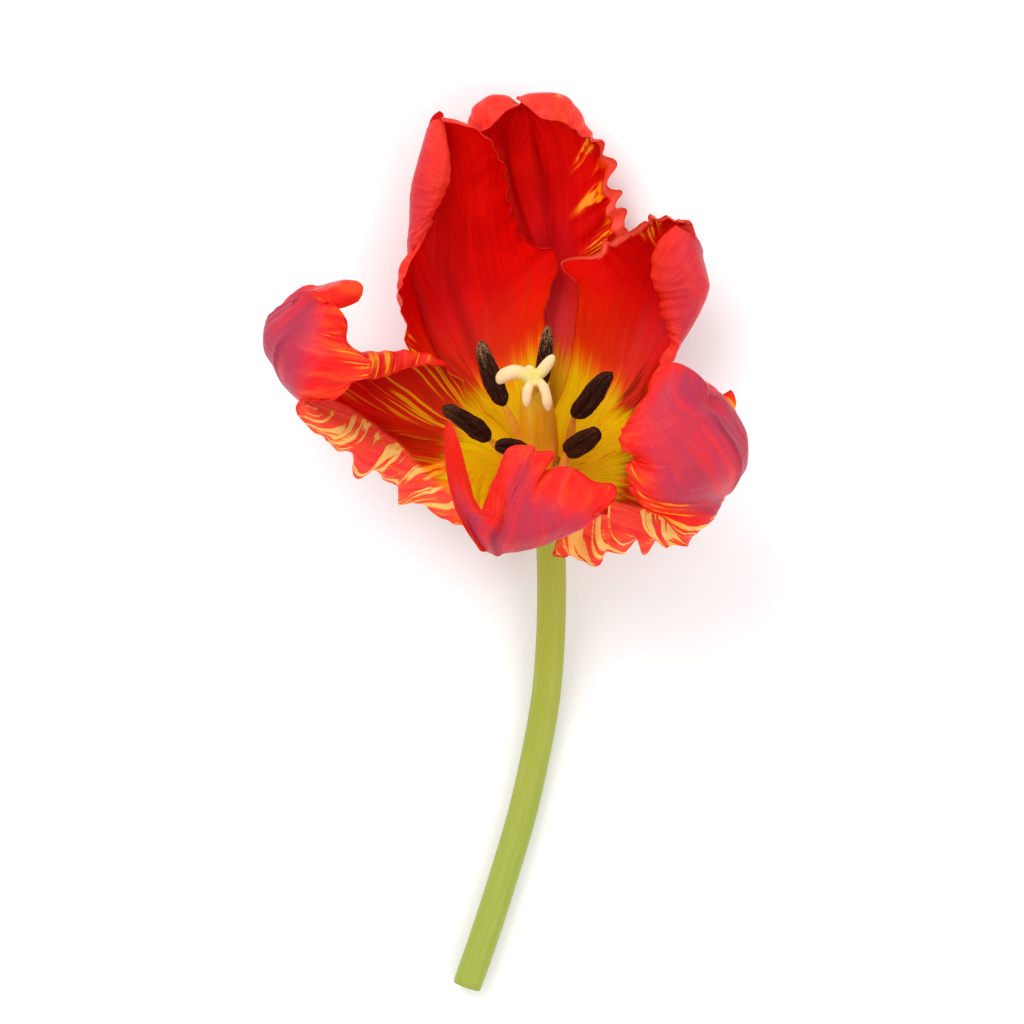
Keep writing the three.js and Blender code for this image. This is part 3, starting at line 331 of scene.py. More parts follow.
                (1, 0.75, -1.7, -2), (1, 0.8, -1.5, 1.5), (1, 0.85, 1.4, 0.1), (1, 0.9, -0.7, 1),
                (1, 0.95, -0.5, -0.2), (-1, 1, -0.8, -1), (-1, 0.95, 0.2, -0.9),
                (-1, 0.9, 3.6, 3.2), (-1, 0.85, -5.2, -3.8), (-1, 0.8, -0.4, 1.6),
                (-1, 0.75, -0.9, 0.7), (-1, 0.7, -0.4, 1.9), (-1, 0.65, -2, -2.5),
                (-1, 0.6, 0.6, 2), (-1, 0.55, 0, -1.1), (-1, 0.5, -0.4, 0.8), (-1, 0.45, -2.5, 1.1),
                (-0.5, 0.45, 0.3, 2.5), (-0.5, 0.55, 0, 1.3), (0.6, 0.55, 0.9, 0),
                (1, 0.5, 0.8, 0.1), (0, 0.5, 0, -0.2),
            )),
        ),
        "creases": ((0.05, 0.35, 0.1, 0.8, 0.5, 1),),
        "rose": 0, "mauve": 0.7,
        "left": {
            "base": 13, "fringe": (0.5, 0.5),
            "width": (2.1, 12, 19, 24, 26, 23, 15, 11, 9),
            "cup": (10, 25, 30, 35, 40), "curl": (0, 0, 10, 20, 60), "start": (0.5, 0.5),
            "lean": (0, 0, 0, 0.1, 0.3, 0.4, 0.2, 0, 0),
            "ragged": (0, 0, 0.3, 0.3, 0.3, 0.2), "frill": (0, 0, 0.3, 0.3, 0.2, 0.1),
            "flame": (0, 0.05, 0.12, 0.1, 0, 0),
        },
        "right": {
            "base": 13, "fringe": (0.5, 0.5),
            "width": (2.1, 6, 7, 7, 9, 17, 3, 8, 9),
            "cup": (10, 30, 40, 50, 40), "curl": (0, 0, 20, 30, 60), "start": (0.5, 0.5),
            "lean": (0, 0, 0, 0.5, 1, 1.3, 0, 0, 0),
            "ragged": (0, 0, 0.1, 0.1, 0.2, 0.2), "frill": (0, 0, 0, 0, 0.1, 0.1),
        },
    },
}

# Stamens: where each anther starts and ends, in millimetres from the receptacle, how far its
# middle stands out of that line, how dusty its tip is, how far its tip hooks over in millimetres,
# and its girth as a share of the usual one.
STAMENS = {
    "upper_left": {"foot": (-8.6, 14, 2.5), "top": (-13.6, 27.6, 5.5), "bow": -0.4, "dust": 0.8},
    "upper": {"foot": (-1.8, 16.5, 2.0), "top": (0, 30.6, 5), "bow": 0.2, "dust": 1.0, "girth": 0.8},
    "upper_right": {
        "foot": (4.8, 11.8, 9.6), "top": (11.2, 21.6, 19), "bow": 0.8, "dust": 0.0, "hook": 1.6, "girth": 1.1,
    },
    "right": {"foot": (3.4, 5, 9.4), "top": (10, 9.2, 22.2), "bow": 0.2, "dust": 0.0, "girth": 1.1},
    "front": {"foot": (-4.0, 4.4, 12.0), "top": (-10.5, 6.2, 23.5), "bow": 0.5, "dust": 0.0},
    "left": {"foot": (-11.4, 7.4, 8.5), "top": (-21, 14, 18), "bow": 0.3, "dust": 0.1},
}
ANTHER_OUTLINE = (0.0, 0.72, 0.92, 1.0, 1.03, 1.0, 0.96, 0.88, 0.78, 0.56, 0.0)
ANTHER_FLATNESS = 0.85
FILAMENT_OUTLINE = (1.0, 1.15, 1.2, 1.2, 1.15, 1.0, 0.6)
# Where a filament's root stands, from the receptacle's middle: aside and up along its axis, and
# how deep the filament's end is sunk in its anther.
ROOT_ASIDE = 3.35
ROOT_UP = 0.75
SUNK_IN_ANTHER = 0.5
FILAMENT_SIDES = 24
ANTHER_SEED = 900
ANTHER_SEED_STEP = 10

# The stem's centre line from the cut end up to the receptacle, how many rings and sides it has,
# how narrow the two rings at its cut end are and how soon the second comes, as shares, and the
# receptacle's outline: the height along the bloom's axis and the radius.
STEM_LINE = (
    (-9.25, -96.6, 3.0), (-5.4, -85.6, 3.0), (-1.55, -73.6, 3.0), (2.0, -61.6, 3.0),
    (4.75, -49.6, 3.1), (6.85, -37.6, 4.4), (7.8, -25.6, 7.0), (8.0, -13.6, 10.2),
    (7.6, -2.0, 14.6), (7.25, 4.6, 18.1),
)
STEM_RINGS = 140
STEM_SIDES = 48
CUT_RINGS = (0.9, 0.97)
CUT_STEP = 0.12
RECEPTACLE_OUTLINE = (
    (-2.4, 3.1), (-1.6, 4.5), (-1, 5.15), (-0.4, 5.3), (0.0, 4.9), (0.25, 3.7), (0.4, 2.0), (0.48, 0.4),
)

# The fingers of the stigma: how thick each is and the points that it passes, from the middle of
# the top of the ovary; the second number is along the pistil.
STIGMA_FINGERS = (
    (1.3, ((0, -1.5, 0), (-0.7, 1.0, -0.8), (-3.0, 2.3, -1.8), (-5.6, 1.9, -1.6), (-7.2, 0.6, -1))),
    (0.95, ((0, -1.5, 0), (-0.1, 1.2, -1.2), (-1.0, 2.6, -3.2))),
    (1.05, ((0, -1.5, 0), (0.5, 0.8, -0.8), (2.4, 2.3, -2.4), (4.4, 3.6, -4.5))),
    (0.9, ((0, -1.5, 0), (-0.4, 1.5, 1.2), (-1.3, 1.3, 3.2), (-1.8, -1.3, 5))),
    (0.95, ((0, -1.5, 0), (1.1, 1.7, 1.4), (2.2, 1.3, 4.0), (2.4, -2.2, 5.8))),
)
FINGER_OUTLINE = (1.3, 1.15, 1.05, 1.0, 1.0, 1.05, 1.1, 1.1, 0.95, 0.35)
FINGER_SEED = 71
# The ovary's outline: the share of its height and the radius.
OVARY_OUTLINE = (
    (0, 1.6), (0.05, 1.9), (0.14, 2.75), (0.3, 3.5), (0.6, 3.63), (0.85, 3.1), (0.97, 2.6),
)
OVARY_HEIGHT = 23.0
OVARY_TOP = np.array([0, OVARY_HEIGHT, 0])
PISTIL_FOOT = 0.8
PISTIL_ASIDE = -0.7

# The sheets of the petals: how far apart their seeds are, at how many places the midrib and the
# margins are measured, how far the ribs turn forward at the base and at the tip, in degrees, how
# much the veins gather towards the tip, how far the noise of one half lies from that of the
# other, and how strongly and how far in, in millimetres, the flames lean.
PETAL_SEED_STEP = 100
MIDRIB_PLACES = 241
MARGIN_PLACES = 500
BASE_TURN = 12
TIP_TURN = 90
VEIN_SPREAD = 0.9
VEINS_APART = 5
MARGINS_APART = 80
USUAL_SLANT = 0.35
SLANT_REACH = 6
# The least width of a half, where along the midrib a hem starts and is full, and the share of a
# rib from which the tears of its margin lengthen it.
LEAST_WIDTH = 0.5
HEM_START = 0.48
HEM_FULL = 0.62
TORN_FROM = 0.55
# How long the tears, the nicks and the frills of a margin are, and how wide and long the slow
# waves of a sheet, in millimetres; how many ridges a rib crosses, and how long they are.
TEAR = 5.0
NICK = 1.9
FRILL = 8
WAVE_WIDTH = 11
WAVE_LENGTH = 14
RIDGES = 26
RIDGE_LENGTH = 40
# How low a sheet's middle surface and its faces may come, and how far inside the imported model's
# box its points stay and over what length they are pressed back, in millimetres.
LOWEST_MIDDLE = 0.36
LOWEST_FACE = 0.02
BOX_MARGIN = 0.3
BOX_SOFTNESS = 1.0

# The studio, in metres: half the floor's width, the soft lights with their places and shares of
# the power, what they aim at, and the camera's height over the floor, with a height at which it
# sees a known width.
FLOOR_HALF = 2.0
WORLD_STRENGTH = 0.95
LIGHTS = (("key", (-0.55, 0.75, 1.1), 1.0), ("fill", (0.7, -0.5, 0.9), 0.4))
LIGHT_SIZE = 0.9
LIGHT_AIM = Vector((0, 0.03, 0.02))
CAMERA_HEIGHT = 1.0
SEEN_HEIGHT = 0.02
SEEN_WIDTH = 0.2048
SENSOR_WIDTH = 36.0
NEAREST_SEEN = 0.05
FARTHEST_SEEN = 20.0


# ---- Sizes and colours that a user may change ----


def colour(name, description, default):
    return FloatVectorProperty(
        name=name, description=description, default=default, size=3, min=0.0, max=1.0, subtype="COLOR"
    )


def length(name, description, default):
    return FloatProperty(
        name=name, description=description, default=default, min=0.0, unit="LENGTH", subtype="DISTANCE"
    )


class TulipPetalSettings(bpy.types.PropertyGroup):
    thickness: length("Thickness", "Thickness of a petal along its midrib", 0.0006)
    rim: length("Rim", "Thickness of a petal at its margin", 0.00018)
    ridges: length("Ridges", "Height of the fine ridges along the veins", 0.0001)
    waves: length("Waves", "Height of the slow waves of the sheet", 0.0005)
    rows: IntProperty(name="Rows", description="Rows of faces from the base to the tip", default=260, min=40)
    columns: IntProperty(
        name="Columns", description="Faces from the midrib to the margin", default=38, min=8
    )
    inner: colour("Inner red", "Colour of a petal's inner face", (0.56, 0.0, 0.0))
    outer: colour("Outer rose", "Colour of a petal's outer face", (0.63, 0.017, 0.015))
    flame: colour("Flames", "Colour of the flames at the margins", (0.93, 0.58, 0.17))
    base: colour("Yellow base", "Colour of a petal's base, inside", (0.80, 0.42, 0.0))


class TulipStamenSettings(bpy.types.PropertyGroup):
    anther_radius: length("Anther radius", "Half the width of an anther", 0.002)
    filament_radius: length("Filament radius", "Half the thickness of a filament at its root", 0.0008)
    grains: FloatProperty(
        name="Grains", description="Pollen grains on a square millimetre of an anther", default=3.0, min=0.0
    )
    grain_radius: length("Grain radius", "Half the width of a pollen grain", 0.00006)
    anther: colour("Anther brown", "Colour of an anther", (0.022, 0.007, 0.004))
    filament: colour("Filament orange", "Colour of a filament", (0.80, 0.30, 0.015))


class TulipPistilSettings(bpy.types.PropertyGroup):
    voxel: length("Voxel", "How finely the pistil's parts are grown together", 0.00028)
    ovary: colour("Ovary yellow", "Colour of the ovary", (0.80, 0.32, 0.006))
    stigma: colour("Stigma cream", "Colour of the stigma", (0.84, 0.56, 0.30))


class TulipStemSettings(bpy.types.PropertyGroup):
    radius: length("Radius", "Half the thickness of the stem", 0.00294)
    green: colour("Stem green", "Colour of the stem", (0.28, 0.35, 0.04))


class TulipStageSettings(bpy.types.PropertyGroup):
    floor: colour("Floor", "Colour of the floor", (0.93, 0.93, 0.93))
    light: FloatProperty(
        name="Light", description="Strength of the soft light", default=9.0, min=0.0, unit="POWER"
    )


# ---- Curves and noise ----


def along(stations, t):
    """The value at each t (0 to 1) of a spline through evenly spaced stations."""
    keys = np.asarray(stations, float)
    last = len(keys) - 1
    keys = np.concatenate([[2 * keys[0] - keys[1]], keys, [2 * keys[-1] - keys[-2]]])
    place = np.clip(np.asarray(t, float), 0, 1) * last
    i = np.minimum(place.astype(int), last - 1)
    f = place - i
    if keys.ndim > 1:
        f = f[..., None]
    a, b, c, d = keys[i], keys[i + 1], keys[i + 2], keys[i + 3]
    return b + 0.5 * f * (c - a + f * (2 * a - 5 * b + 4 * c - d + f * (3 * (b - c) + d - a)))


def travelled(line):
    """How far each point of a line lies from its first point, along the line."""
    return np.concatenate([[0], np.cumsum(np.linalg.norm(np.diff(line, axis=0), axis=1))])


def smoothstep(x, low, high):
    """0 up to low, 1 from high, and a smooth rise between them."""
    u = np.clip((x - low) / (high - low), 0, 1)
    return u * u * (3 - 2 * u)


def hump(x, wide):
    """A smooth bump of height 1 at x = 0."""
    return np.exp(-((x / wide) ** 2))


def unit(v):
    """Vectors of length 1."""
    return v / np.linalg.norm(v, axis=-1, keepdims=True)


def noise(x, y, seed):
    """Smooth noise from -1 to 1 over a plane, one bump to a unit."""
    size = 64
    lattice = np.random.default_rng(seed).uniform(-1, 1, (size, size))
    x, y = np.broadcast_arrays(np.asarray(x, float), np.asarray(y, float))
    i, j = np.floor(x).astype(int), np.floor(y).astype(int)
    f, g = smoothstep(x - i, 0, 1), smoothstep(y - j, 0, 1)
    near = lattice[i % size, j % size] * (1 - f) + lattice[(i + 1) % size, j % size] * f
    far = lattice[i % size, (j + 1) % size] * (1 - f) + lattice[(i + 1) % size, (j + 1) % size] * f
    return near * (1 - g) + far * g


# ---- Node trees ----


class Value:
    """An output in a node tree, which formulas can be written with."""

    def __init__(self, formulas, socket):
        self.formulas = formulas
        self.socket = socket

    def __add__(self, other):
        return self.formulas.math("ADD", self, other)

    def __sub__(self, other):
        return self.formulas.math("SUBTRACT", self, other)

    def __mul__(self, other):
        return self.formulas.math("MULTIPLY", self, other)

    def __abs__(self):
        return self.formulas.math("ABSOLUTE", self, 0.0)


class Formulas:
    """A node tree that is written as short formulas."""

    def __init__(self, tree):
        self.tree = tree

    def feed(self, socket, value):
        """Links a value to a socket, or sets a constant on it."""
        if isinstance(value, Value):
            self.tree.links.new(value.socket, socket)
        elif socket.type == "RGBA":
            socket.default_value = (*value, 1.0)
        else:
            socket.default_value = value

    def node(self, kind, inputs, output=0, **settings):
        """One output of a new node with these inputs, which are given by name or by number."""
        made = self.tree.nodes.new(kind)
        for name, value in settings.items():
            setattr(made, name, value)
        for socket, value in inputs.items():
            self.feed(made.inputs[socket], value)
        return Value(self, made.outputs[output])

    def math(self, operation, a, b):
        return self.node("ShaderNodeMath", {0: a, 1: b}, operation=operation)


class Modelling(Formulas):
    """A Geometry Nodes tree; given holds its inputs by their names."""

    def __init__(self, name, inputs):
        super().__init__(bpy.data.node_groups.new(name, "GeometryNodeTree"))
        face = self.tree.interface
        face.new_socket("Geometry", in_out="INPUT", socket_type="NodeSocketGeometry")
        for label, kind, value in inputs:
            made = face.new_socket(label, in_out="INPUT", socket_type=f"NodeSocket{kind}")
            made.default_value = value
        face.new_socket("Material", in_out="INPUT", socket_type="NodeSocketMaterial")
        face.new_socket("Geometry", in_out="OUTPUT", socket_type="NodeSocketGeometry")
        start = self.tree.nodes.new("NodeGroupInput")
        self.given = {socket.name: Value(self, socket) for socket in start.outputs}

    def finish(self, geometry):
        """The tree, which ends in Realize Instances and Set Material."""
        real = self.node("GeometryNodeRealizeInstances", {0: geometry})
        paint = self.node("GeometryNodeSetMaterial", {"Geometry": real, "Material": self.given["Material"]})
        end = self.tree.nodes.new("NodeGroupOutput")
        self.feed(end.inputs[0], paint)
        return self.tree


def sweep_tree():
    """A round body along a curve, whose points carry its radius."""
    tree = Modelling("Swept body", (("Sides", "Int", 32), ("Thickness", "Float", 1.0)))
    ring = tree.node("GeometryNodeCurvePrimitiveCircle", {"Resolution": tree.given["Sides"], "Radius": 1.0})
    radius = tree.node("GeometryNodeInputRadius", {}) * tree.given["Thickness"]
    inputs = {"Curve": tree.given["Geometry"], "Profile Curve": ring, "Scale": radius, "Fill Caps": True}
    return tree.finish(tree.node("GeometryNodeCurveToMesh", inputs))


def grain_tree():
    """Grains scattered over a mesh, which keep the mesh's attributes."""
    sizes = (("Density", "Float", 3e6), ("Radius", "Float", 0.00006), ("Seed", "Int", 0))
    tree = Modelling("Pollen", sizes)
    body = tree.given["Geometry"]
    inputs = {"Mesh": body, "Density": tree.given["Density"], "Seed": tree.given["Seed"]}
    places = tree.node("GeometryNodeDistributePointsOnFaces", inputs, "Points")
    grain = tree.node("GeometryNodeMeshIcoSphere", {"Radius": tree.given["Radius"]}, "Mesh")
    grains = tree.node("GeometryNodeInstanceOnPoints", {"Points": places, "Instance": grain})
    both = tree.node("GeometryNodeJoinGeometry", {0: body})
    tree.feed(both.socket.node.inputs[0], grains)
    return tree.finish(both)


# ---- Materials ----


class Finish(Formulas):
    """A material with a Principled shader."""

    def __init__(self, name, roughness, **constants):
        self.material = bpy.data.materials.new(name)
        self.material.use_nodes = True
        super().__init__(self.material.node_tree)
        self.shader = self.tree.nodes["Principled BSDF"]
        self.shader.inputs["Roughness"].default_value = roughness
        for socket, value in constants.items():
            self.shader.inputs[socket.replace("_", " ")].default_value = value

    def attribute(self, name):
        """The three numbers of a vector attribute of the mesh, and the vector itself."""
        vector = self.node("ShaderNodeAttribute", {}, "Vector", attribute_name=name)
        return (*(self.node("ShaderNodeSeparateXYZ", {0: vector}, k) for k in range(3)), vector)

    def place(self):
        return self.node("ShaderNodeTexCoord", {}, "Object")

    def vector(self, x, y, z=0.0):
        return self.node("ShaderNodeCombineXYZ", {0: x, 1: y, 2: z})

    def stretch(self, vector, *scales):
        return self.node("ShaderNodeVectorMath", {0: vector, 1: scales}, operation="MULTIPLY")

    def noise(self, vector, scale=1.0, detail=2.0, roughness=0.5, distortion=0.0):
        inputs = {"Vector": vector, "Scale": scale, "Detail": detail, "Roughness": roughness}
        return self.node("ShaderNodeTexNoise", {**inputs, "Distortion": distortion}, "Fac")

    def ramp(self, value, low, high, to_low=0.0, to_high=1.0):
        """A smooth change from one number to another while the value goes from low to high."""
        inputs = {"Value": value, "From Min": low, "From Max": high, "To Min": to_low, "To Max": to_high}
        return self.node("ShaderNodeMapRange", inputs, "Result", interpolation_type="SMOOTHSTEP")

    def mix(self, share, a, b):
        """A colour between two colours."""
        return self.node("ShaderNodeMix", {0: share, 6: a, 7: b}, 2, data_type="RGBA")

    def blend(self, share, a, b):
        """A number between two numbers."""
        return self.node("ShaderNodeMix", {0: share, 2: a, 3: b}, data_type="FLOAT")

    def bump(self, height, distance, strength):
        inputs = {"Strength": strength, "Distance": distance, "Height": height}
        self.feed(self.shader.inputs["Normal"], self.node("ShaderNodeBump", inputs, "Normal"))

    def finish(self, base, roughness):
        self.feed(self.shader.inputs["Base Color"], base)
        self.feed(self.shader.inputs["Roughness"], roughness)
        return self.material


# Colours of the petals, besides those that a user may change: inside and at the yellow base,
BRIGHT_RED = (0.74, 0.002, 0.0)
DARK_VEIN = (0.42, 0.0, 0.0)
LOW_ORANGE = (0.72, 0.032, 0.0)
ROSE_FAR = (0.62, 0.012, 0.035)
ROSE_NEAR = (0.84, 0.05, 0.09)
# painted shade in the creases, inside
INNER_CREASE_SHADE = (0.30, 0.0, 0.0)
BASE_HALO = (0.82, 0.11, 0.0)
PALE_GOLD = (0.76, 0.50, 0.0)
DEEP_GOLD = (0.74, 0.30, 0.002)
FRINGE_BROWN = (0.13, 0.008, 0.0)
SPECK_BROWN = (0.12, 0.05, 0.0)
STRIPE_YELLOW = (0.80, 0.33, 0.003)
# at the margins,
CORAL = (1.0, 0.10, 0.05)
DEEP_CORAL = (0.90, 0.035, 0.04)
FLAME_ORANGE = (0.95, 0.30, 0.003)
FLAME_GLOW = (0.93, 0.08, 0.0)
HEM_PINK = (1.0, 0.12, 0.07)
# and outside.
MAUVE = (0.47, 0.024, 0.075)
MAUVE_ROSE = (0.78, 0.026, 0.036)
EDGE_RED = (0.78, 0.034, 0.018)
EDGE_ROSE = (0.78, 0.007, 0.006)
EDGE_GLINT = (0.94, 0.08, 0.012)
DUSK = (0.32, 0.030, 0.070)
# painted highlight and painted shade of the cross wrinkles, outside
WRINKLE_HIGHLIGHT = (0.90, 0.09, 0.05)
WRINKLE_SHADE = (0.45, 0.010, 0.020)
OUTER_VEIN = (0.38, 0.002, 0.012)
# painted shade in the creases, outside
OUTER_CREASE_SHADE = (0.22, 0.0, 0.02)
OUTER_GLOW = (0.93, 0.07, 0.01)


def petal_finish(settings):
    """Deep red inside on a yellow base, coral to mauve outside, and flamed margins."""
    f = Finish("Tulip petal", 0.45)
    across, away, _, flat = f.attribute("flat")
    share, vein, _, _ = f.attribute("vein")
    rim, slanted, flame, _ = f.attribute("edge")
    outside, rose, fringe, _ = f.attribute("tone")
    base, strip, crease_shade, _ = f.attribute("reach")
    stripes, mauve, hem, _ = f.attribute("marks")

    def drawn_out(veins, stretch, layer, detail, roughness=0.5):
        """Noise drawn out along the veins."""
        return f.noise(f.vector(veins, away * stretch, layer), 1.0, detail, roughness)

    def streaked(a, b):
        """A colour that changes from streak to streak."""
        return f.mix(f.ramp(streak, 0.35, 0.65), a, b)

    streak = drawn_out(vein * 13.0, 0.025, 0.0, 3.0, 0.6)
    hair = drawn_out(vein * 60.0, 0.05, 4.0, 2.0, 0.6)
    cloud = f.noise(flat, 0.07, 2.0)
    swing = streak - 0.5
    strand = hair - 0.5

    def inner_red():
        """Brighter in streaks, orange towards the base, rose at the midrib, with painted shade in the
        creases.
        """
        red = f.mix(f.ramp(cloud + swing, 0.3, 0.75), settings.inner, BRIGHT_RED)
        red = f.mix(f.ramp(hair, 0.5, 0.7) * 0.22, red, DARK_VEIN)
        low = f.ramp(away - base + swing * 24.0, 22.0, 2.0)
        red = f.mix(low * 0.65, red, LOW_ORANGE)
        broken = f.ramp(hair, 0.3, 0.6, 0.3, 1.0) * f.ramp(away, 62.0, 40.0)
        rosy = f.ramp(abs(share) + swing * 0.3, 0.42, 0.1) * rose * broken
        red = f.mix(rosy * 0.8, red, f.mix(f.ramp(away, 44.0, 34.0), ROSE_FAR, ROSE_NEAR))
        # painted shade: the creases are darkened
        return f.mix(crease_shade * 0.6, red, INNER_CREASE_SHADE)

    def with_yellow_base(red):
        """The base is feathered along the veins, with a dark fringe and a few hairlines."""
        beyond = away + (swing * -11.0 + strand * -6.0) - base
        sharp = beyond * (fringe * 2.0 + 1.0)
        golden = f.ramp(sharp, 3.5, -4.5)
        red = f.mix(f.ramp(sharp, 7.0, 0.0) * 0.7, red, BASE_HALO)
        dark = f.ramp(abs(beyond + -3.0), 7.5, 2.5) * f.ramp(hair + swing * 0.5, 0.42, 0.56) * fringe
        specks = f.ramp(drawn_out(vein * 60.0, 0.22, 9.0, 1.0), 0.66, 0.70)
        gold = f.mix(f.ramp(away, 10.0, 2.0) * 0.4, streaked(settings.base, PALE_GOLD), DEEP_GOLD)
        inner = f.mix(dark * 0.92, f.mix(golden, red, gold), FRINGE_BROWN)
        return f.mix(specks * golden * (fringe * 0.75), inner, SPECK_BROWN)

    def with_stripes(inner):
        """Long yellow stripes run along the veins."""
        line = f.ramp(drawn_out((vein + cloud * 0.12) * 19.0, 0.03, 7.0, 1.5), 0.55, 0.60)
        line = line * f.ramp(abs(share), 0.05, 0.16)
        return f.mix(line * stripes, inner, STRIPE_YELLOW)

    # flames run in from the margin, each in its own patch
    reach = f.ramp(f.noise(f.vector(slanted * 0.16, 3.0, 2.0), 1.0, 1.0), 0.3, 0.7, 4.0, 19.0)
    inside = flame * reach - rim + strip * 5.0
    patch = (slanted + (cloud - 0.5) * 5.0) * f.blend(hem * 0.25, 0.58, 0.28)
    patch = f.vector(patch, rim * (hem * 0.02 + 0.06), 3.0)
    tongue = f.noise(patch, 1.0, 2.5, 0.55, 0.25) + (strand * 0.14 + (flame - 1.0) * 0.10)
    flamed = f.ramp(flame, 0.02, 0.2)
    lit = f.ramp(inside, -1.0, 2.0) * flamed * f.ramp(rim + strip * 2.0, hem + 0.2, hem + 0.9)
    burn = f.ramp(tongue, 0.50, 0.54) * lit
    glow = f.ramp(tongue, 0.42, 0.51) * (f.ramp(inside, -3.0, 1.0) * flamed)
    hot = f.mix(strip * 0.8 + swing * 1.4, FLAME_ORANGE, settings.flame)

    def inner_face():
        """A margin that is turned out is coral, and a hem outside the flames is pink."""
        inner = with_stripes(with_yellow_base(inner_red()))
        inner = f.mix(strip, inner, streaked(CORAL, DEEP_CORAL))
        inner = f.mix(glow * 0.6, inner, FLAME_GLOW)
        hemmed = f.ramp(rim - hem + swing * 3.0, 0.2, -0.8) * f.ramp(hem, 0.0, 0.5)
        return f.mix(burn, f.mix(hemmed, inner, HEM_PINK), hot)

    def outer_face(wrinkle):
        """Coral at the margin, rose further in, mauve in bands, with fine cross wrinkles that carry a painted
        highlight and painted shade.
        """
        core = f.ramp(rim + swing * 10.0, f.blend(mauve, 0.5, 5.0), f.blend(mauve, 5.0, 11.0))
        body = f.mix(mauve, settings.outer, streaked(MAUVE, MAUVE_ROSE))
        glint = f.noise(f.vector(slanted * 0.22, rim * 0.12, 5.0), 1.0, 2.0)
        glint = f.ramp(glint, 0.45, 0.68) * (mauve * (mauve * 0.75))
        edge = f.mix(glint, f.mix(mauve, EDGE_RED, EDGE_ROSE), EDGE_GLINT)
        dusk = drawn_out(vein * 5.0, 0.03, 11.0, 1.5) + cloud * 0.5 + swing * 0.5
        dusk = f.ramp(dusk, 0.60, 0.84) * (core * f.ramp(abs(share), 0.95, 0.4))
        outer = f.mix(dusk * (mauve * 0.85), f.mix(core, edge, body), DUSK)
        plain = f.ramp(mauve, 0.7, 0.35)
        # painted highlight on the crests of the cross wrinkles and painted shade in their troughs
        outer = f.mix(f.ramp(wrinkle, 0.35, 0.75) * f.blend(plain, 0.05, 0.24), outer, WRINKLE_HIGHLIGHT)
        outer = f.mix(f.ramp(wrinkle, 0.45, 0.2) * (plain * 0.3), outer, WRINKLE_SHADE)
        outer = f.mix(f.ramp(hair, 0.48, 0.66) * 0.14, outer, OUTER_VEIN)
        # painted shade: the creases are darkened
        outer = f.mix(crease_shade * 0.55, outer, OUTER_CREASE_SHADE)
        return f.mix(burn, f.mix(glow * 0.25, outer, OUTER_GLOW), hot)

    wrinkle = f.noise(f.vector(across * 0.16, away * 1.1), 1.0, 2.0, 0.5, 0.5)
    f.bump(hair * 0.45 + wrinkle * outside * 1.1, 0.00025, 0.6)
    f.feed(f.shader.inputs["Specular IOR Level"], f.blend(outside, 0.04, 0.12))
    rough = f.blend(outside, f.ramp(streak, 0.2, 0.8, 0.42, 0.55), f.ramp(wrinkle, 0.2, 0.8, 0.30, 0.46))
    return f.finish(f.mix(outside, inner_face(), outer_face(wrinkle)), rough)


def anther_finish(settings):
    """Brown-black, velvety with pollen, dusty brown at the tip."""
    f = Finish("Tulip anther", 0.7, Specular_IOR_Level=0.07)
    worn_brown = (0.090, 0.020, 0.007)
    dust_brown = (0.34, 0.17, 0.08)
    rise, dust, turn, _ = f.attribute("anther")
    speck = f.noise(f.place(), 2600.0, 3.0, 0.7)
    long = f.noise(f.vector(turn * 9.0, rise * 5.0), 1.0, 3.0, 0.6)
    tip = f.ramp(rise + long, 1.08, 1.4) * dust
    body = f.mix(f.ramp(speck + (long - 0.5), 0.4, 0.8), settings.anther, worn_brown)
    body = f.mix(tip * f.ramp(speck, 0.38, 0.6), body, dust_brown)
    f.bump(speck + long, 0.00018, 0.8)
    return f.finish(body, f.ramp(speck, 0.2, 0.8, 0.45, 0.8))


def filament_finish(settings):
    """Orange-yellow with a fine grain."""
    f = Finish("Tulip filament", 0.42, Specular_IOR_Level=0.2)
    pale_orange = (0.84, 0.38, 0.03)
    grain = f.noise(f.place(), 900.0, 3.0)
    f.bump(grain, 0.00008, 0.5)
    tint = f.mix(f.ramp(grain, 0.3, 0.7), settings.filament, pale_orange)
    return f.finish(tint, f.ramp(grain, 0.2, 0.8, 0.36, 0.5))


def pistil_finish(settings):
    """Yellow-orange ovary, greener at its top, under a cream stigma."""
    f = Finish("Tulip pistil", 0.4, Specular_IOR_Level=0.2)
    pale_yellow = (0.84, 0.42, 0.012)
    top_green = (0.72, 0.50, 0.03)
    pale_cream = (0.88, 0.62, 0.34)
    heart_green = (0.70, 0.60, 0.12)
    rise, out, heart, _ = f.attribute("pistil")
    grain = f.noise(f.place(), 500.0, 3.0)
    fuzz = f.noise(f.place(), 2600.0, 2.0)
    streak = f.noise(f.stretch(f.place(), 600.0, 60.0, 60.0), 1.0, 2.0)
    body = f.mix(f.ramp(streak, 0.3, 0.7), settings.ovary, pale_yellow)
    body = f.mix(f.ramp(rise, 0.72, 0.98) * 0.7, body, top_green)
    cream = f.mix(f.ramp(grain, 0.3, 0.7), settings.stigma, pale_cream)
    cream = f.mix(heart * 0.75, cream, heart_green)
    crown = f.ramp(out + grain * 0.2, 0.45, 0.75)
    f.bump(fuzz * crown + grain * 0.5, 0.00012, 0.7)
    return f.finish(f.mix(crown, body, cream), f.blend(crown, 0.36, 0.62))


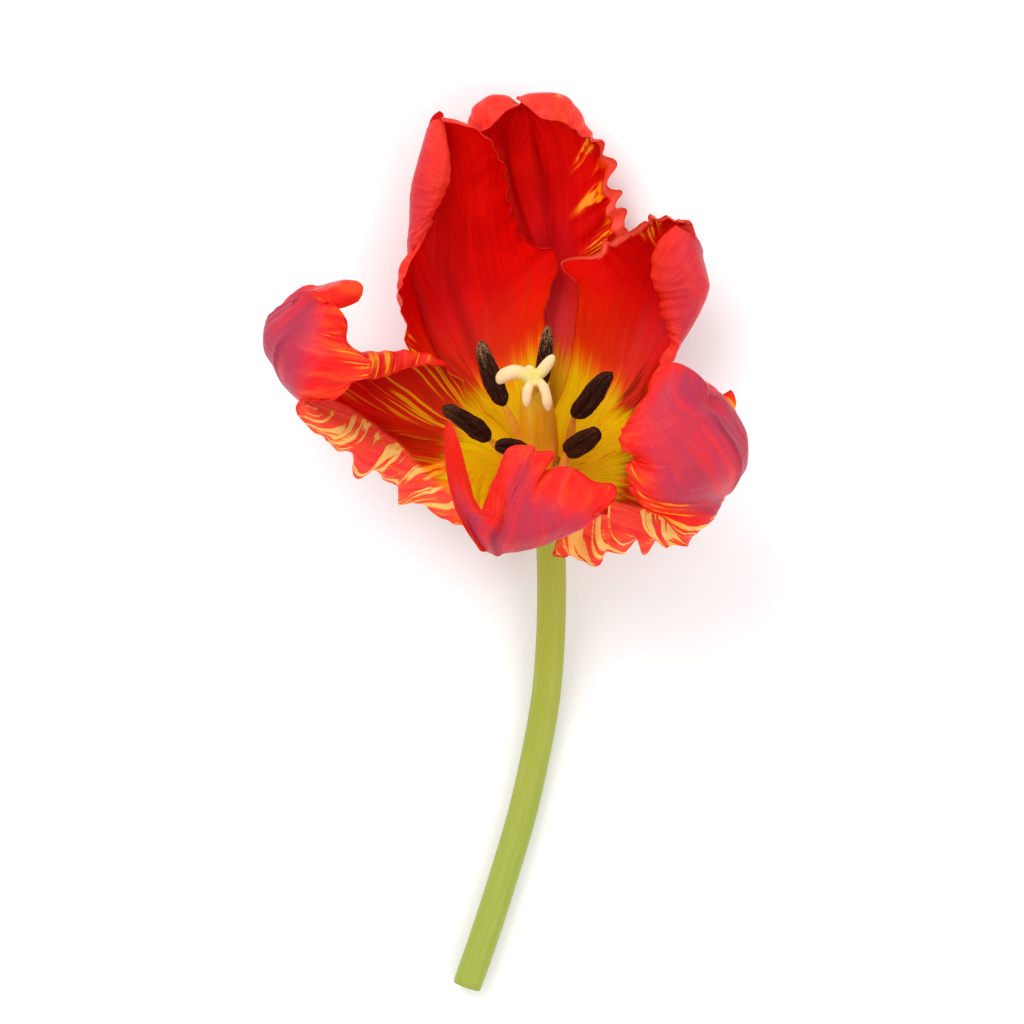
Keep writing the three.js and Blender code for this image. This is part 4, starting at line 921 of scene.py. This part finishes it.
def stem_finish(settings):
    """Satin yellow-green with soft lengthwise streaks."""
    f = Finish("Tulip stem", 0.42, Specular_IOR_Level=0.2)
    light_green = (0.33, 0.36, 0.055)
    line_green = (0.46, 0.50, 0.15)
    high_olive = (0.40, 0.34, 0.035)
    high_green = (0.34, 0.36, 0.03)
    turn, rise, _, _ = f.attribute("stalk")
    streak = f.noise(f.vector(turn * 9.0, rise * 0.02), 1.0, 3.0, 0.55)
    fine = f.noise(f.vector(turn * 42.0, rise * 0.10, 5.0), 1.0, 2.0)
    green = f.mix(f.ramp(streak, 0.35, 0.65), settings.green, light_green)
    green = f.mix(f.ramp(rise, 30.0, 110.0), green, f.mix(streak, high_olive, high_green))
    green = f.mix(f.ramp(fine, 0.5, 0.75) * 0.3, green, line_green)
    f.bump(streak + fine * 0.5, 0.00015, 0.5)
    return f.finish(green, f.ramp(fine, 0.2, 0.8, 0.36, 0.5))


def floor_finish(settings):
    """Plain pale paper."""
    rough = 0.9
    darker = 0.985
    f = Finish("Studio floor", rough)
    grain = f.noise(f.place(), 900.0, 2.0)
    f.bump(grain, 0.00005, 0.2)
    return f.finish(f.mix(grain, tuple(settings.floor), tuple(darker * c for c in settings.floor)), rough)


# ---- Meshes ----


def store(mesh, label, values):
    """Keeps three numbers for each point of a mesh, for its material."""
    layer = mesh.attributes.new(label, "FLOAT_VECTOR", "POINT")
    layer.data.foreach_set("vector", np.asarray(values, np.float32).ravel())


def linked(name, data):
    """A new object in the scene."""
    piece = bpy.data.objects.new(name, data)
    bpy.context.scene.collection.objects.link(piece)
    return piece


def mesh_piece(name, points, faces, material, attributes=None):
    """A piece from points in millimetres, with its vector attributes, one for each point."""
    mesh = bpy.data.meshes.new(name)
    mesh.from_pydata((np.asarray(points) * MM).tolist(), [], [list(face) for face in faces])
    for label, values in (attributes or {}).items():
        store(mesh, label, values)
    mesh.shade_smooth()
    mesh.materials.append(material)
    mesh.validate()
    return linked(name, mesh)


def mesh_points(mesh):
    """The points of a mesh, in millimetres."""
    points = np.zeros(len(mesh.vertices) * 3)
    mesh.vertices.foreach_get("co", points)
    return points.reshape(-1, 3) / MM


def modified(piece, tree, inputs):
    """The piece as a plain mesh, after a Geometry Nodes tree with the given inputs."""
    modifier = piece.modifiers.new(tree.name, "NODES")
    modifier.node_group = tree
    for item in tree.interface.items_tree:
        if item.in_out == "INPUT" and item.name in inputs:
            modifier[item.identifier] = inputs[item.name]
    bpy.context.view_layer.update()
    evaluated = piece.evaluated_get(bpy.context.evaluated_depsgraph_get())
    mesh = bpy.data.meshes.new_from_object(evaluated)
    name = piece.name
    bpy.data.objects.remove(piece)
    made = linked(name, mesh)
    mesh.name = name
    mesh.shade_smooth()
    return made


def path_object(name, points, radii):
    """A curve through points, with its radii, all in millimetres."""
    data = bpy.data.curves.new(name, "CURVE")
    data.dimensions = "3D"
    spline = data.splines.new("POLY")
    spline.points.add(len(points) - 1)
    for item, point, radius in zip(spline.points, points, radii):
        item.co = (*(np.asarray(point) * MM), 1.0)
        item.radius = radius * MM
    return linked(name, data)


def grid(rows, columns, first=0):
    """The numbers of the points of a grid, row by row."""
    return np.arange(rows * columns).reshape(rows, columns) + first


def tube_faces(number):
    """The side of a tube, whose rings are the rows of numbers, and its two ends."""
    rows, turns = number.shape
    side = [
        (number[i, j], number[i, (j + 1) % turns], number[i + 1, (j + 1) % turns], number[i + 1, j])
        for i in range(rows - 1)
        for j in range(turns)
    ]
    return side + [tuple(number[0, ::-1]), tuple(number[-1])]


def hand_over(piece, node):
    """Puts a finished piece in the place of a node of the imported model."""
    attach(piece, "root")
    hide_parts(node)


def kept_inside(points):
    """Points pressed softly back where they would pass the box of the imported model."""
    low, high = (np.array(corner) / MM for corner in CAD_BOX)
    soft = BOX_SOFTNESS
    over = np.maximum(points - (high - BOX_MARGIN - soft), 0)
    under = np.maximum(low + BOX_MARGIN + soft - points, 0)
    under[:, 2] = 0
    return points - over + soft * (1 - np.exp(-over / soft)) + under - soft * (1 - np.exp(-under / soft))


def vertex_normals(points, faces):
    a, b, c, d = (points[faces[:, k]] for k in range(4))
    normals = np.zeros_like(points)
    for k in range(4):
        np.add.at(normals, faces[:, k], np.cross(c - a, d - b))
    return normals / np.maximum(np.linalg.norm(normals, axis=1), 1e-12)[:, None]


# ---- The sheet of a petal ----


def midrib(petal, t):
    """Point, forward direction, inner normal, right-hand direction and travel at each t."""
    fine = np.linspace(0, 1, MIDRIB_PLACES)
    line = along(petal["path"], fine)
    forward = unit(np.gradient(line, axis=0))
    normal = np.zeros_like(forward)
    carried = BLOOM_AXIS.copy()
    for k, way in enumerate(forward):
        carried = unit(carried - carried.dot(way) * way)
        normal[k] = carried
    point, forward, normal = (
        np.stack([np.interp(t, fine, column) for column in values.T], 1)
        for values in (line, forward, normal)
    )
    forward = unit(forward)
    normal = unit(normal - (normal * forward).sum(1)[:, None] * forward)
    twist = np.radians(along(petal.get("twist", (0, 0)), t))[:, None]
    right = np.cross(forward, normal)
    normal = normal * np.cos(twist) + right * np.sin(twist)
    return point, forward, normal, np.cross(forward, normal), np.interp(t, fine, travelled(line))


def rib_turn(petal, t):
    """How far the ribs turn forward at each t, in radians."""
    return np.radians(np.minimum(BASE_TURN * (1 - t) + TIP_TURN * t ** petal["fan"], TIP_TURN))[:, None]


def torn_margin(half, t, travel, seed):
    """How much longer or shorter the torn margin makes each rib, in millimetres."""
    tears = (1 - np.abs(noise(travel / TEAR, 0.5, seed))) ** 4
    nicks = (1 - np.abs(noise(travel / NICK, 9.5, seed))) ** 2
    return along(half["ragged"], t) * (tears + 0.4 * nicks - 0.5) * (1 - t ** 12)


def frilled_margin(half, t, travel, share, seed):
    """How far the frilled margin waves up and down, in millimetres."""
    wave = np.sin(travel * 1.15 + 3 * noise(travel / FRILL, 3.5, seed))
    wave = wave + 0.6 * noise(travel / NICK, share * 2, seed + 1)
    return along(half["frill"], t)[:, None] * wave * share ** 3 * (1 - t ** 8)[:, None]


def rib_bend(petal, half, t, share):
    """How steeply each rib rises at each share of it, the curl and where the curl starts."""
    keel, cup, curl = (
        np.radians(along(stations, t))[:, None] for stations in (petal["keel"], half["cup"], half["curl"])
    )
    start = along(half["start"], t)[:, None]
    return keel + cup * share + curl * smoothstep(share, start, 1.0), curl, start


def summed(values, step):
    """The sum of values along each rib, by steps."""
    zero = np.zeros((len(values), 1))
    return np.concatenate([zero, np.cumsum((values[:, 1:] + values[:, :-1]) / 2 * step, 1)], 1)


def pulled(petal, places, t, signed_share):
    """The places, drawn aside by the petal's pulls."""
    for (wide, long), rows in petal["pulls"]:
        for vein, at, *way in rows:
            near = hump(signed_share - vein, wide) * hump(t - at, long)[:, None]
            places[..., : len(way)] += near[..., None] * way
    return places


def pressed_folds(petal, t, signed_share, width, midrib_length):
    """How deep the creases sink the sheet, in millimetres, and how much each place is creased, which the
    material darkens as painted shade.
    """
    sunk = np.zeros(signed_share.shape)
    crease_shade = np.zeros(signed_share.shape)
    for v0, t0, v1, t1, depth, wide in petal["creases"]:
        way = np.array([v1 - v0, t1 - t0])
        rel = np.stack([signed_share - v0, t[:, None] - t0 + 0 * signed_share], -1)
        place = np.clip(rel @ way / (way @ way), 0, 1)
        gone = rel - place[..., None] * way
        apart = np.hypot(gone[..., 0] * width, gone[..., 1] * midrib_length)
        fold = hump(apart, wide) * np.minimum(1, 4 * np.minimum(place + 0.1, 1.1 - place))
        sunk = sunk - depth * fold
        crease_shade = np.maximum(crease_shade, fold)
    return sunk, crease_shade


def half_petal(petal, side, t, columns, seed):
    """Points of the ribs of one half from the midrib to the margin, and what colours them."""
    half = petal["right" if side > 0 else "left"]
    point, forward, up, right, arc = midrib(petal, t)
    turn = rib_turn(petal, t)
    out = side * right * np.cos(turn) + forward * np.sin(turn)
    share = np.linspace(0, 1, columns + 1)[None]

    width = along(half["width"], t)
    for where, reach, span in half.get("teeth", ()):
        width = width + reach * hump(t - where, span)
    travel = travelled(point + out * width[:, None])
    torn = torn_margin(half, t, travel, seed)[:, None]
    travel = travel[:, None]
    width = np.maximum(width, LEAST_WIDTH)[:, None]

    heading, curl, start = rib_bend(petal, half, t, share)
    near_margin = smoothstep(share[:, 1:], TORN_FROM, 1.0)
    step = width / columns + torn * near_margin / near_margin.sum()
    reached, risen = summed(np.cos(heading), step), summed(np.sin(heading), step)
    lean = along(half.get("lean", (0, 0)), t)[:, None] * width
    places = point[:, None] + out[:, None] * reached[..., None] + up[:, None] * risen[..., None]
    places = places + forward[:, None] * (lean * share ** 2)[..., None]
    none = np.zeros(reached.shape)
    signed_share = side * share + none
    places = pulled(petal, places, t, signed_share)
    sunk, crease_shade = pressed_folds(petal, t, signed_share, width, arc[-1])
    lift = frilled_margin(half, t, travel, share, seed) + sunk

    def spread(stations):
        """Stations of a share from 0 to 1, the same all along each rib."""
        return np.clip(along(stations, t), 0, 1)[:, None] + none

    rim = np.concatenate([np.cumsum(step[:, ::-1], 1)[:, ::-1], none[:, :1]], 1)
    slant = half.get("slant", USUAL_SLANT) * SLANT_REACH * (1 - np.exp(-rim / SLANT_REACH))
    turned = along(half["turned"], t)[:, None] if "turned" in half else start
    strip = smoothstep(-np.degrees(curl), 20, 90) * smoothstep(share, turned - 0.07, turned + 0.05)
    hem = half.get("hem", 0.0) * smoothstep(t, HEM_START, HEM_FULL)[:, None] + none
    values = {
        "flat": (side * width * share * np.cos(turn), arc[:, None] + width * share * np.sin(turn), none),
        "vein": (signed_share, share - VEIN_SPREAD * (t ** 1.2)[:, None] + VEINS_APART * (side > 0), none),
        "edge": (rim, travel + slant + MARGINS_APART * (side > 0), spread(half.get("flame", (0, 0)))),
        "tone": (none, petal["rose"] + none, spread(half["fringe"])),
        "reach": (float(half["base"]) + none, strip, crease_shade),
        "marks": (spread(half.get("stripes", (0, 0))), petal["mauve"] + none, hem),
    }
    return places, lift, values


def petal_rows(petal, rows):
    """Rows spaced evenly along the margins."""
    t = np.linspace(0, 1, MARGIN_PLACES)
    point, forward, _, right, _ = midrib(petal, t)
    turn = rib_turn(petal, t)
    lengths = 0.0
    for side, key in ((1, "right"), (-1, "left")):
        width = along(petal[key]["width"], t)[:, None]
        edge = point + (side * right * np.cos(turn) + forward * np.sin(turn)) * width
        lengths = lengths + np.linalg.norm(np.diff(edge, axis=0), axis=1)
    evened = np.concatenate([[0], np.cumsum(lengths + 0.0005 * lengths.sum())])
    return np.interp(np.linspace(0, evened[-1], rows + 1), evened, t)


def closed_sheet(points, normals, half_thick, number, faces):
    """Both faces of a sheet about its middle surface, joined at the rim, and the points used."""
    count = len(points)
    sheet = np.concatenate([points + normals * half_thick, points - normals * half_thick])
    sheet[:, 2] = np.maximum(sheet[:, 2], LOWEST_FACE)
    loop = np.concatenate([number[:, 0], number[-1, -1:], number[-2::-1, -1], number[0, -2::-1]])
    loop = loop[np.append(True, np.diff(loop) != 0)]
    around = np.stack([loop[1:], loop[:-1], loop[:-1] + count, loop[1:] + count], -1)
    every_face = np.concatenate([faces, faces[:, ::-1] + count, around])
    used = np.unique(every_face)
    renumber = np.zeros(2 * count, int)
    renumber[used] = np.arange(len(used))
    return sheet[used], renumber[every_face], used


def petal_piece(name, petal, seed, settings, material):
    """A closed sheet: an inner and an outer face about the middle surface, joined at the rim."""
    rows, columns = settings.rows, settings.columns
    t = petal_rows(petal, rows)
    right, right_lift, right_values = half_petal(petal, 1, t, columns, seed)
    left, left_lift, left_values = half_petal(petal, -1, t, columns, seed + 10)

    def joined(left_half, right_half):
        return np.concatenate([left_half[:, :0:-1], right_half], 1)

    values = {
        key: np.stack([joined(*pair) for pair in zip(left_values[key], right_values[key])], -1).reshape(-1, 3)
        for key in right_values
    }
    number = grid(rows + 1, 2 * columns + 1)
    number[rows, :columns] = number[rows, : columns : -1]
    faces = np.stack([number[:-1, :-1], number[:-1, 1:], number[1:, 1:], number[1:, :-1]], -1).reshape(-1, 4)
    points = joined(left, right).reshape(-1, 3) + RECEPTACLE

    across, away = values["flat"][:, 0], values["flat"][:, 1]
    share, vein = values["vein"][:, 0], values["vein"][:, 1]
    slow = noise(across / WAVE_WIDTH, away / WAVE_LENGTH, seed + 2) * smoothstep(away, 6, 25)
    ridge = noise(vein * RIDGES, away / RIDGE_LENGTH, seed + 3) * smoothstep(away, 2, 12)
    lift = joined(left_lift, right_lift).reshape(-1)
    offset = lift + slow * settings.waves / MM + ridge * settings.ridges / MM
    points = kept_inside(points + vertex_normals(points, faces) * offset[:, None])
    points[:, 2] = np.maximum(points[:, 2], LOWEST_MIDDLE)

    thick = settings.rim + (settings.thickness - settings.rim) * (1 - np.abs(share) ** 3)
    half_thick = (thick / MM / 2)[:, None]
    sheet, faces, used = closed_sheet(points, vertex_normals(points, faces), half_thick, number, faces)
    attributes = {key: np.concatenate([value] * 2) for key, value in values.items()}
    attributes["tone"][len(points):, 0] = 1.0
    attributes = {key: value[used] for key, value in attributes.items()}
    piece = mesh_piece(name.replace("petal", "tulip_petal"), sheet, faces, material, attributes)
    hand_over(piece, name)


# ---- The stamens, the pistil and the stem ----


def anther_piece(place, stamen, seed, settings, material):
    """Two long pods side by side, each with its own slit, drying and wrinkled."""
    foot = np.array(stamen["foot"], float)
    top = np.array(stamen["top"], float)
    way = unit(top - foot)
    side = unit(np.cross(way, (0, 0, 1)))
    front = np.cross(side, way)
    rows, turns = 90, 64
    u = np.linspace(0, 1, rows + 1)[:, None]
    angle = np.linspace(0, 2 * np.pi, turns, endpoint=False)[None]
    outline = along(ANTHER_OUTLINE, u)
    outline = outline * (1 + 0.07 * noise(u * 6, np.sin(angle) + seed, seed))
    lobes = 1 - 0.42 * hump(np.sin(angle / 2 - np.pi / 4), 0.16)
    lobes = lobes - 0.36 * hump(np.sin(angle / 2 + np.pi / 4), 0.16)
    lobes = lobes - 0.10 * hump(np.sin(angle / 2), 0.1) - 0.10 * hump(np.cos(angle / 2), 0.1)
    wrinkles = 0.07 * noise(u * 7, np.sin(angle) * 5 + 7, seed + 1)
    wrinkles = wrinkles + 0.03 * noise(u * 30, np.cos(angle) * 6, seed + 2)
    radius = settings.anther_radius / MM * stamen.get("girth", 1) * outline * (lobes + wrinkles)
    long = np.linalg.norm(top - foot) * u
    bow = stamen["bow"] * 4 * u * (1 - u) + stamen.get("hook", 0) * u ** 5
    across = (radius * np.cos(angle) + bow)[..., None] * side
    deep = (radius * ANTHER_FLATNESS * np.sin(angle))[..., None] * front
    points = (foot + RECEPTACLE + long[..., None] * way + across + deep).reshape(-1, 3)

    number = grid(rows + 1, turns)
    number[0] = number[0, 0]
    number[rows] = number[rows, 0]
    ahead = np.roll(number, -1, 1)
    corners = np.stack([ahead[:-1], ahead[1:], number[1:], number[:-1]], -1).reshape(-1, 4)
    used, corners = np.unique(corners, return_inverse=True)
    faces = [tuple(dict.fromkeys(face)) for face in corners.reshape(-1, 4)]
    rise = np.broadcast_to(u, (rows + 1, turns)).reshape(-1)[used]
    turn = np.broadcast_to(np.abs(angle / np.pi - 1), (rows + 1, turns)).reshape(-1)[used]
    values = np.stack([rise, np.full(len(used), stamen["dust"]), turn], -1)
    return mesh_piece(f"tulip_anther_{place}", points[used], faces, material, {"anther": values})


def filament_path(place, stamen, settings):
    """A filament's path, from its root on the receptacle into its anther."""
    foot, top = np.array(stamen["foot"], float), np.array(stamen["top"], float)
    flat = foot - foot.dot(BLOOM_AXIS) * BLOOM_AXIS
    root = unit(flat) * ROOT_ASIDE + BLOOM_AXIS * ROOT_UP
    end = foot + unit(top - foot) * SUNK_IN_ANTHER
    t = np.linspace(0, 1, 25)
    line = root + (end - root) * t[:, None] + RECEPTACLE
    thick = along(FILAMENT_OUTLINE, t) * settings.filament_radius / MM
    return path_object(f"tulip_filament_{place}", line, thick)


def ovary_body():
    """Points and faces of the ovary, which stands on its foot: three lobes with a seam in each."""
    rings, turns = 70, 72
    shares, radii = np.array(OVARY_OUTLINE).T
    heights = shares * OVARY_HEIGHT
    h = np.linspace(0, heights[-1], rings)
    r = np.interp(h, heights, radii)
    angle = np.linspace(0, 2 * np.pi, turns, endpoint=False)
    lobes = 1 + 0.07 * np.cos(3 * angle) - 0.05 * hump(np.sin(1.5 * angle), 0.12)
    ring = np.stack([np.sin(angle) * lobes, np.zeros(turns), np.cos(angle) * lobes], -1)
    points = ring[None] * r[:, None, None] + np.array([0, 1, 0]) * h[:, None, None]
    return points.reshape(-1, 3), tube_faces(grid(rings, turns))


def stigma_finger(k, thick, stations, first):
    """Points and faces of one finger of the stigma."""
    rings, turns = 24, 20
    s = np.linspace(0, 1, rings)[:, None]
    line = along(np.array(stations, float), s[:, 0]) + OVARY_TOP
    ahead = unit(np.gradient(line, axis=0))
    over = unit(np.cross(ahead, (1.0, 0.3, 0.0)))
    side = np.cross(ahead, over)
    size = thick * along(FINGER_OUTLINE, s) * (1 + 0.12 * noise(s * 7, k + 0.5, FINGER_SEED))
    angle = np.linspace(0, 2 * np.pi, turns, endpoint=False)[None]
    ring = np.cos(angle)[..., None] * over[:, None] + np.sin(angle)[..., None] * side[:, None]
    points = line[:, None] + size[..., None] * ring
    return points.reshape(-1, 3), tube_faces(grid(rings, turns, first))


def grown_together(piece, voxel):
    """The piece's bodies as one skin, softly joined."""
    remesh = piece.modifiers.new("Grown together", "REMESH")
    remesh.mode = "VOXEL"
    remesh.voxel_size = voxel
    soften = piece.modifiers.new("Soften", "SMOOTH")
    soften.iterations = 5
    evaluated = piece.evaluated_get(bpy.context.evaluated_depsgraph_get())
    mesh = bpy.data.meshes.new_from_object(evaluated)
    piece.modifiers.clear()
    piece.data = mesh
    return mesh


def pistil_values(local):
    """For each point: how high it is, how far it belongs to the stigma and how near its heart."""
    rise = local[:, 1] / OVARY_HEIGHT
    out = smoothstep(rise, 1.0, 1.05)
    for thick, stations in STIGMA_FINGERS:
        for place in along(np.array(stations, float), np.linspace(0.45, 1, 8)):
            far = np.linalg.norm(local - place - OVARY_TOP, axis=1)
            out = out + 1 - smoothstep(far, 1.1 * thick, 1.7 * thick)
    from_heart = np.linalg.norm(local - OVARY_TOP - np.array([0, 1, 0]), axis=1)
    heart = 1 - smoothstep(from_heart, 1.5, 4.5)
    return np.stack([rise, np.clip(out, 0, 1), heart], -1)


def stalk_values(points, line):
    """For each point of the stem: its place round the stem and how far up the stem it is."""
    dense = along(line, np.linspace(0, 1, 400))
    nearest = np.argmin(np.linalg.norm(points[:, None, :] - dense[None], axis=2), axis=1)
    ahead = unit(np.gradient(dense, axis=0))[nearest]
    side = unit(np.cross(ahead, (0, 0, 1)))
    rel = points - dense[nearest]
    turn = np.arctan2((rel * np.cross(side, ahead)).sum(1), (rel * side).sum(1)) / (2 * np.pi)
    around = np.abs(turn) * 2 + 3 * (turn > 0)
    return np.stack([around, travelled(dense)[nearest], 0 * turn], -1)


# ---- Operators ----


class TULIP_OT_petals(bpy.types.Operator):
    """Make the six petals"""

    bl_idname = "tulip.petals"
    bl_label = "Petals"

    def execute(self, context):
        settings = context.scene.tulip_petals
        material = petal_finish(settings)
        for k, (name, petal) in enumerate(PETALS.items()):
            petal_piece(name, petal, PETAL_SEED_STEP * (k + 1), settings, material)
        return {"FINISHED"}


class TULIP_OT_stamens(bpy.types.Operator):
    """Make the six stamens, each an anther on its filament"""

    bl_idname = "tulip.stamens"
    bl_label = "Stamens"

    def execute(self, context):
        settings = context.scene.tulip_stamens
        anther_material = anther_finish(settings)
        filament_material = filament_finish(settings)
        sweep, pollen = sweep_tree(), grain_tree()
        grains = {
            "Density": settings.grains / MM ** 2,
            "Radius": settings.grain_radius,
            "Material": anther_material,
        }
        for k, place in enumerate(PLACES):
            stamen = STAMENS[place]
            seed = ANTHER_SEED + ANTHER_SEED_STEP * k
            anther = anther_piece(place, stamen, seed, settings, anther_material)
            anther = modified(anther, pollen, {**grains, "Seed": k})
            hand_over(anther, f"anther_{place}")
            path = filament_path(place, stamen, settings)
            filament = modified(path, sweep, {"Sides": FILAMENT_SIDES, "Material": filament_material})
            hand_over(filament, f"filament_{place}")
        return {"FINISHED"}


class TULIP_OT_pistil(bpy.types.Operator):
    """Make the pistil: the ovary with its stigma"""

    bl_idname = "tulip.pistil"
    bl_label = "Pistil"

    def execute(self, context):
        settings = context.scene.tulip_pistil
        material = pistil_finish(settings)
        body, faces = ovary_body()
        bodies, count = [body], len(body)
        for k, (thick, stations) in enumerate(STIGMA_FINGERS):
            finger, finger_faces = stigma_finger(k, thick, stations, count)
            bodies.append(finger)
            faces += finger_faces
            count += len(finger)
        turned = np.array(Vector((0, 1, 0)).rotation_difference(Vector(BLOOM_AXIS)).to_matrix())
        start = RECEPTACLE + BLOOM_AXIS * PISTIL_FOOT + np.array([PISTIL_ASIDE, 0, 0])
        piece = mesh_piece("tulip_pistil", np.concatenate(bodies) @ turned.T + start, faces, material)
        mesh = grown_together(piece, settings.voxel)
        store(mesh, "pistil", pistil_values((mesh_points(mesh) - start) @ turned))
        mesh.materials.clear()
        mesh.materials.append(material)
        mesh.shade_smooth()
        hand_over(piece, "pistil")
        return {"FINISHED"}


class TULIP_OT_stem(bpy.types.Operator):
    """Make the stem with the receptacle that it swells into"""

    bl_idname = "tulip.stem"
    bl_label = "Stem"

    def execute(self, context):
        settings = context.scene.tulip_stem
        radius = settings.radius / MM
        line = [np.array(point, float) - FOOTPRINT for point in STEM_LINE]
        stalk = along(line, np.linspace(0, 1, STEM_RINGS))
        swell = [RECEPTACLE + BLOOM_AXIS * height for height, _ in RECEPTACLE_OUTLINE]
        path = np.concatenate([stalk, swell])
        path[1] = path[0] + (path[2] - path[0]) * CUT_STEP
        shares = np.ones(STEM_RINGS)
        shares[: len(CUT_RINGS)] = CUT_RINGS
        radii = np.concatenate([shares * radius, [r for _, r in RECEPTACLE_OUTLINE]])
        curve = path_object("tulip_stem", path, radii)
        piece = modified(curve, sweep_tree(), {"Sides": STEM_SIDES, "Material": stem_finish(settings)})
        store(piece.data, "stalk", stalk_values(mesh_points(piece.data), line))
        hand_over(piece, "stem")
        return {"FINISHED"}


class TULIP_OT_stage(bpy.types.Operator):
    """Set up the floor, the soft light and the camera"""

    bl_idname = "tulip.stage"
    bl_label = "Stage"

    def execute(self, context):
        settings = context.scene.tulip_stage
        scene = context.scene
        mesh = bpy.data.meshes.new("studio_floor")
        half = FLOOR_HALF
        corners = [(-half, -half, 0), (half, -half, 0), (half, half, 0), (-half, half, 0)]
        mesh.from_pydata(corners, [], [(0, 1, 2, 3)])
        mesh.materials.append(floor_finish(settings))
        floor = linked("studio_floor", mesh)

        world = bpy.data.worlds.new("Studio")
        world.use_nodes = True
        background = world.node_tree.nodes["Background"]
        background.inputs["Color"].default_value = (1, 1, 1, 1)
        background.inputs["Strength"].default_value = WORLD_STRENGTH
        scene.world = world
        for name, place, share in LIGHTS:
            light = bpy.data.lights.new(name, "AREA")
            light.size = LIGHT_SIZE
            light.energy = settings.light * share
            lamp = linked(name, light)
            lamp.location = place
            lamp.rotation_euler = (LIGHT_AIM - lamp.location).to_track_quat("-Z", "Y").to_euler()

        lens = bpy.data.cameras.new("camera")
        lens.sensor_width = SENSOR_WIDTH
        lens.lens = SENSOR_WIDTH * (CAMERA_HEIGHT - SEEN_HEIGHT) / SEEN_WIDTH
        lens.clip_start = NEAREST_SEEN
        lens.clip_end = FARTHEST_SEEN
        camera = linked("camera", lens)
        camera.location = (-FOOTPRINT[0] * MM, -FOOTPRINT[1] * MM, CAMERA_HEIGHT)
        scene.camera = camera
        scene.view_settings.view_transform = "Standard"
        return {"FINISHED"}


class TULIP_PT_panel(bpy.types.Panel):
    bl_label = "Parrot tulip"
    bl_idname = "TULIP_PT_panel"
    bl_space_type = "VIEW_3D"
    bl_region_type = "UI"
    bl_category = "Tulip"

    def draw(self, context):
        for operator, group, _ in STEPS:
            box = self.layout.box()
            box.operator(operator.bl_idname)
            settings = getattr(context.scene, group)
            for item in settings.bl_rna.properties:
                if item.identifier not in ("rna_type", "name"):
                    box.prop(settings, item.identifier)


STEPS = (
    (TULIP_OT_petals, "tulip_petals", TulipPetalSettings),
    (TULIP_OT_stamens, "tulip_stamens", TulipStamenSettings),
    (TULIP_OT_pistil, "tulip_pistil", TulipPistilSettings),
    (TULIP_OT_stem, "tulip_stem", TulipStemSettings),
    (TULIP_OT_stage, "tulip_stage", TulipStageSettings),
)


def register():
    for operator, group, settings in STEPS:
        bpy.utils.register_class(settings)
        setattr(bpy.types.Scene, group, PointerProperty(type=settings))
        bpy.utils.register_class(operator)
    bpy.utils.register_class(TULIP_PT_panel)


def unregister():
    bpy.utils.unregister_class(TULIP_PT_panel)
    for operator, group, settings in STEPS:
        bpy.utils.unregister_class(operator)
        delattr(bpy.types.Scene, group)
        bpy.utils.unregister_class(settings)


def main():
    register()
    bpy.ops.tulip.petals()
    bpy.ops.tulip.stamens()
    bpy.ops.tulip.pistil()
    bpy.ops.tulip.stem()
    bpy.ops.tulip.stage()
    bpy.context.view_layer.update()


if __name__ == "__main__":
    main()
